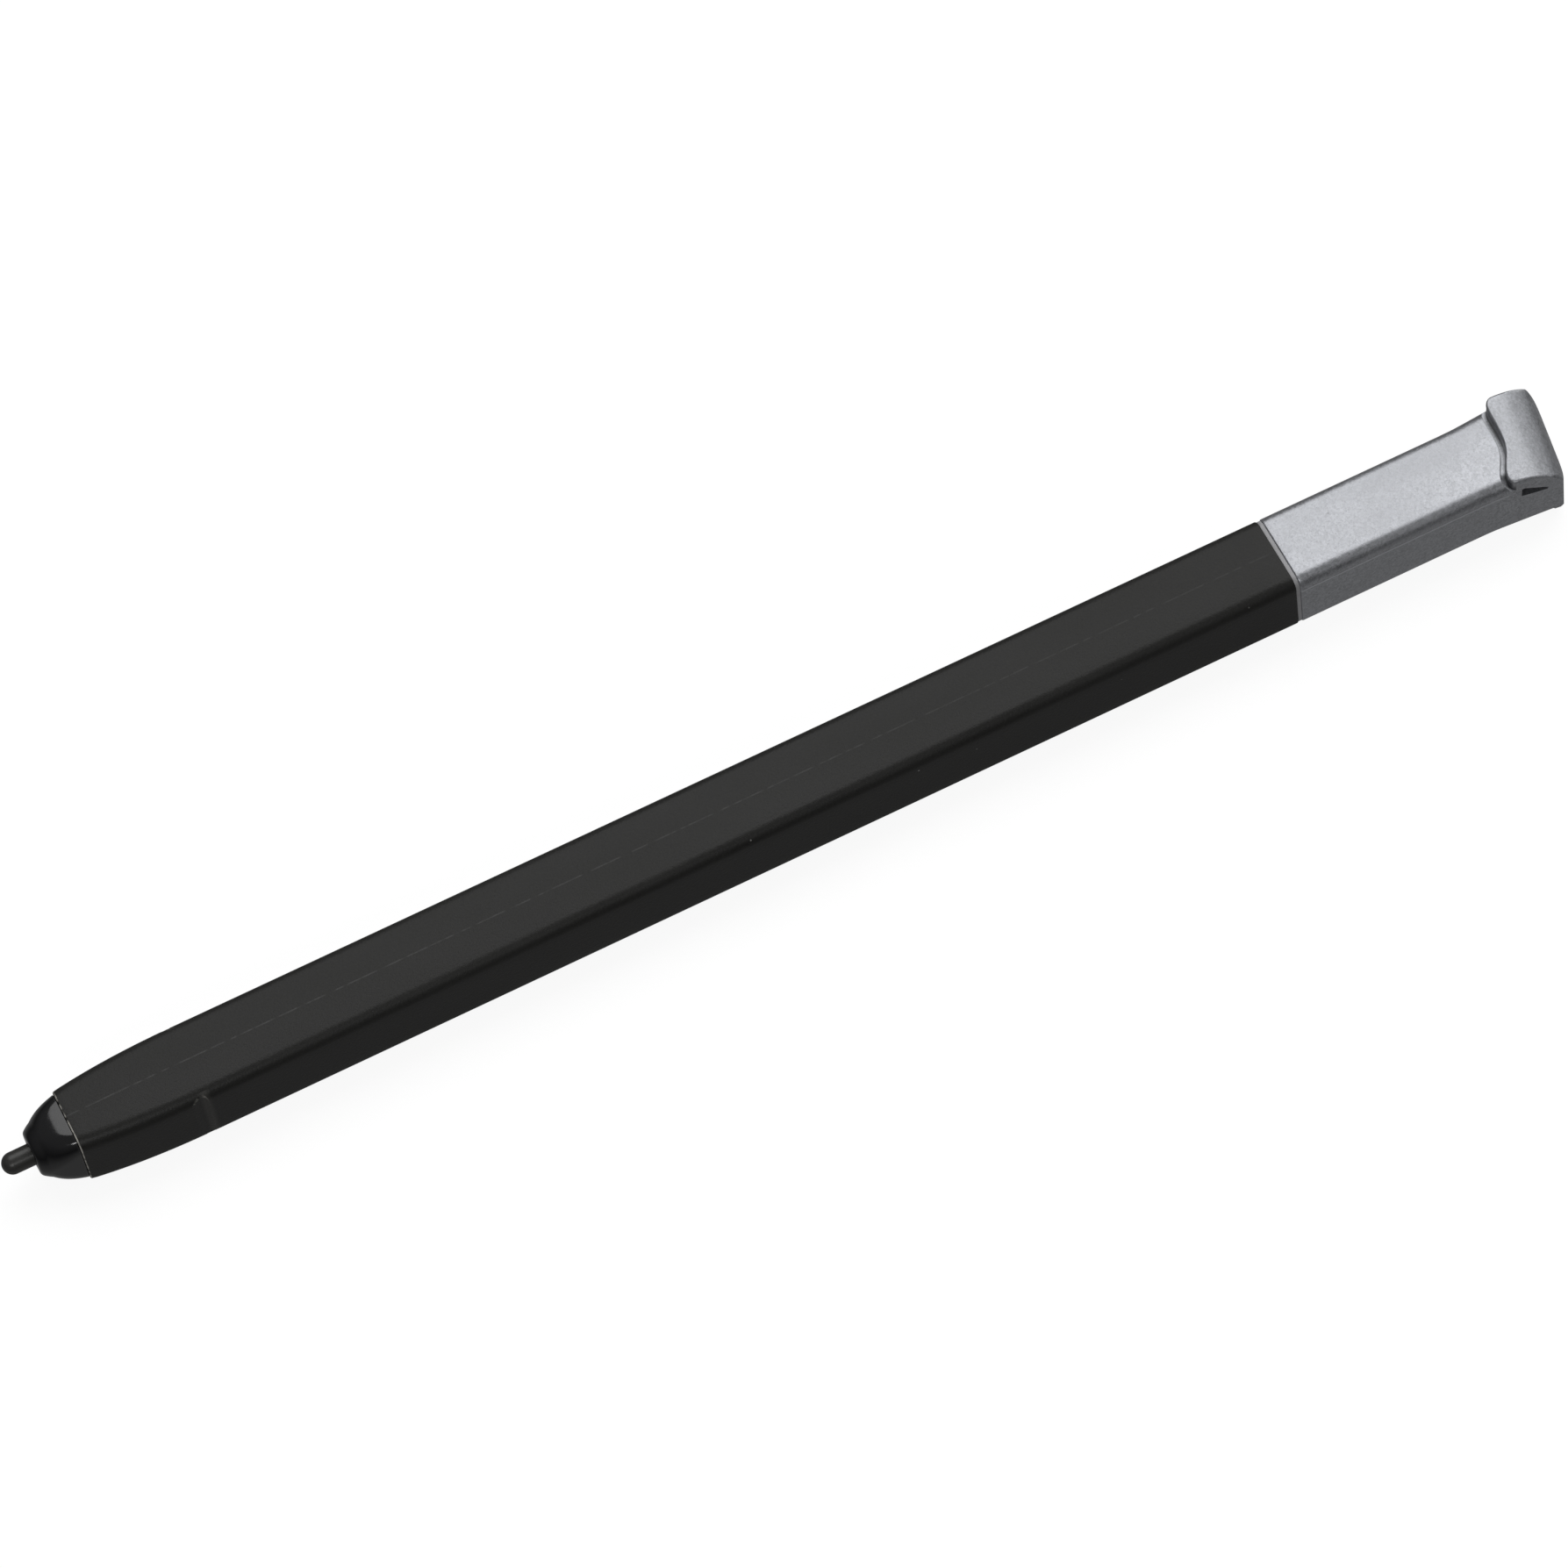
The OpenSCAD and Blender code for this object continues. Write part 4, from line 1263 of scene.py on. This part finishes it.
class STYLUS_OT_dress(bpy.types.Operator):
    """Give the frame's own inner parts their finishes"""

    bl_idname = "stylus.dress"
    bl_label = "Finishes of the frame's parts"

    def execute(self, context):
        finishes = {"sensor_housing": "ivory_plastic", "board_carrier": "inner_plastic",
                    "button_guide": "inner_plastic", "rear_spacer": "inner_plastic",
                    "switch_base": "inner_plastic", "terminal_plate": "contact_brass"}
        for node, slot in finishes.items():
            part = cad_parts[node]
            part.data.materials.clear()
            part.data.materials.append(finish(slot))
        return {"FINISHED"}


# ---------------------------------------------------------------------------------------
# Stage
# ---------------------------------------------------------------------------------------

# Each lamp's direction from the pen, length, height and radiance
LAMPS = {"Top softbox": ((0.36, 0.46, 0.81), 1.9, 0.85, 1.8),
         "Tail softbox": ((0.86, 0.45, 0.1), 0.5, 0.5, 1.6),
         "Near strip": ((-0.3, -0.65, 0.66), 0.6, 0.12, 9)}
LAMP_DISTANCE = 1.2
FLOOR_HALF, FLOOR_Z = 4.0, -0.02 * MM
SENSOR_WIDTH = 36
AIM = Vector((0.25 * MM, 1.6 * MM, 3 * MM))


def facing(location, target, roll=0.0):
    """A placement at location that looks at target, turned by roll about its view line."""
    back = (Vector(location) - Vector(target)).normalized()
    right = Vector((0, 0, 1)).cross(back).normalized()
    up = back.cross(right)
    turned_right = right * np.cos(roll) + up * np.sin(roll)
    turned_up = up * np.cos(roll) - right * np.sin(roll)
    matrix = Matrix((turned_right, turned_up, back)).transposed().to_4x4()
    matrix.translation = location
    return matrix


def softbox(name, direction, length, height, radiance):
    """An area light of an even radiance, in a direction from the pen, its length along it."""
    light = bpy.data.lights.new(name, "AREA")
    light.shape, light.size, light.size_y = "RECTANGLE", length, height
    # A flat lamp's power is pi times its radiance times its area
    light.energy = pi * radiance * length * height
    back = Vector(direction).normalized()
    right = (Vector((1, 0, 0)) - back * back.x).normalized()
    lamp = linked(name, light)
    lamp.matrix_world = Matrix((right, back.cross(right), back)).transposed().to_4x4()
    lamp.matrix_world.translation = back * LAMP_DISTANCE


class STYLUS_OT_stage(bpy.types.Operator):
    """Set up the floor, the studio light and the camera"""

    bl_idname = "stylus.stage"
    bl_label = "Stage"

    def execute(self, context):
        scene, stage = context.scene, context.scene.stylus_stage
        side = np.linspace(-FLOOR_HALF, FLOOR_HALF, 3)
        x, y = np.meshgrid(side, side)
        corners = np.stack([x, y, 0 * x + FLOOR_Z], axis=-1).reshape(-1, 3)
        quads = [[a, a + 1, a + 4, a + 3] for a in (0, 1, 3, 4)]
        mesh = bpy.data.meshes.new("floor")
        mesh.from_pydata(corners.tolist(), [], quads)
        floor = linked("floor", mesh)
        material, tree, shader = start("Floor")
        cloud = put(tree, "TexNoise", {"Vector": place(tree), "Scale": 3.0})
        tint = blend_colours(tree, cloud.outputs["Fac"], scaled(stage.floor, 0.985),
                             scaled(stage.floor, 1.01))
        # The floor glows evenly, and takes only a fifth of the light that falls on it
        dim = blend_colours(tree, 0.8, tint, (0.0, 0.0, 0.0, 1.0))
        set_sockets(tree, shader, {"Base Color": dim, "Roughness": 0.8,
                                   "Emission Color": tint, "Emission Strength": 1.05})
        mesh.materials.append(material)
        floor.visible_diffuse = floor.visible_glossy = False

        for name, settings in LAMPS.items():
            softbox(name, *settings)
        world = bpy.data.worlds.new("Studio")
        world.use_nodes = True
        sky = world.node_tree
        # Even light from above, a dim horizon, and the pale floor's own light from below
        height = put(sky, "SeparateXYZ", {"Vector": put(sky, "TexCoord").outputs["Generated"]})
        above = stretch(sky, height.outputs["Z"], 0.0, 0.6, 0.25 * stage.sky, stage.sky)
        below = stretch(sky, height.outputs["Z"], -0.5, -0.05, 1.05 * stage.sky, 0.0)
        level = sum_up(sky, "ADD", above, below)
        camera_ray = put(sky, "LightPath").outputs["Is Camera Ray"]
        level = stretch(sky, camera_ray, 0.0, 1.0, level, 0.98)
        sky.links.new(level, sky.nodes["Background"].inputs["Strength"])
        sky.nodes["Background"].inputs["Color"].default_value = (1, 1, 1, 1)
        scene.world = world

        camera = bpy.data.cameras.new("Camera")
        camera.lens, camera.sensor_width = stage.lens, SENSOR_WIDTH
        view = linked("Camera", camera)
        flat = np.cos(stage.elevation)
        back = Vector((np.sin(stage.azimuth) * flat, -np.cos(stage.azimuth) * flat,
                       np.sin(stage.elevation)))
        view.matrix_world = facing(AIM + back * stage.distance, AIM, stage.roll)
        scene.camera = view
        scene.view_settings.view_transform = "Standard"
        return {"FINISHED"}


# ---------------------------------------------------------------------------------------
# Add-on
# ---------------------------------------------------------------------------------------

OPERATORS = (STYLUS_OT_barrel, STYLUS_OT_nose, STYLUS_OT_tail, STYLUS_OT_button,
             STYLUS_OT_coil, STYLUS_OT_sensor, STYLUS_OT_board, STYLUS_OT_dress,
             STYLUS_OT_stage)


class STYLUS_PT_pieces(bpy.types.Panel):
    """Sizes, colours and build steps of the pen"""

    bl_label = "Stylus pen"
    bl_idname = "STYLUS_PT_pieces"
    bl_space_type = "VIEW_3D"
    bl_region_type = "UI"
    bl_category = "Stylus"

    def draw(self, context):
        column = self.layout.column()
        for group in (context.scene.stylus_sizes, context.scene.stylus_colours,
                      context.scene.stylus_stage):
            for key in group.bl_rna.properties.keys():
                if key not in ("name", "rna_type"):
                    column.prop(group, key)
        for operator in OPERATORS:
            column.operator(operator.bl_idname)


CLASSES = (StylusSizes, StylusColours, StylusStage) + OPERATORS + (STYLUS_PT_pieces,)


def register():
    for item in CLASSES:
        bpy.utils.register_class(item)
    bpy.types.Scene.stylus_sizes = PointerProperty(type=StylusSizes)
    bpy.types.Scene.stylus_colours = PointerProperty(type=StylusColours)
    bpy.types.Scene.stylus_stage = PointerProperty(type=StylusStage)


def unregister():
    del bpy.types.Scene.stylus_stage
    del bpy.types.Scene.stylus_colours
    del bpy.types.Scene.stylus_sizes
    for item in reversed(CLASSES):
        bpy.utils.unregister_class(item)


def main():
    register()
    for operator in OPERATORS:
        step = operator.bl_idname.split(".")[1]
        getattr(bpy.ops.stylus, step)()


if __name__ == "__main__":
    main()
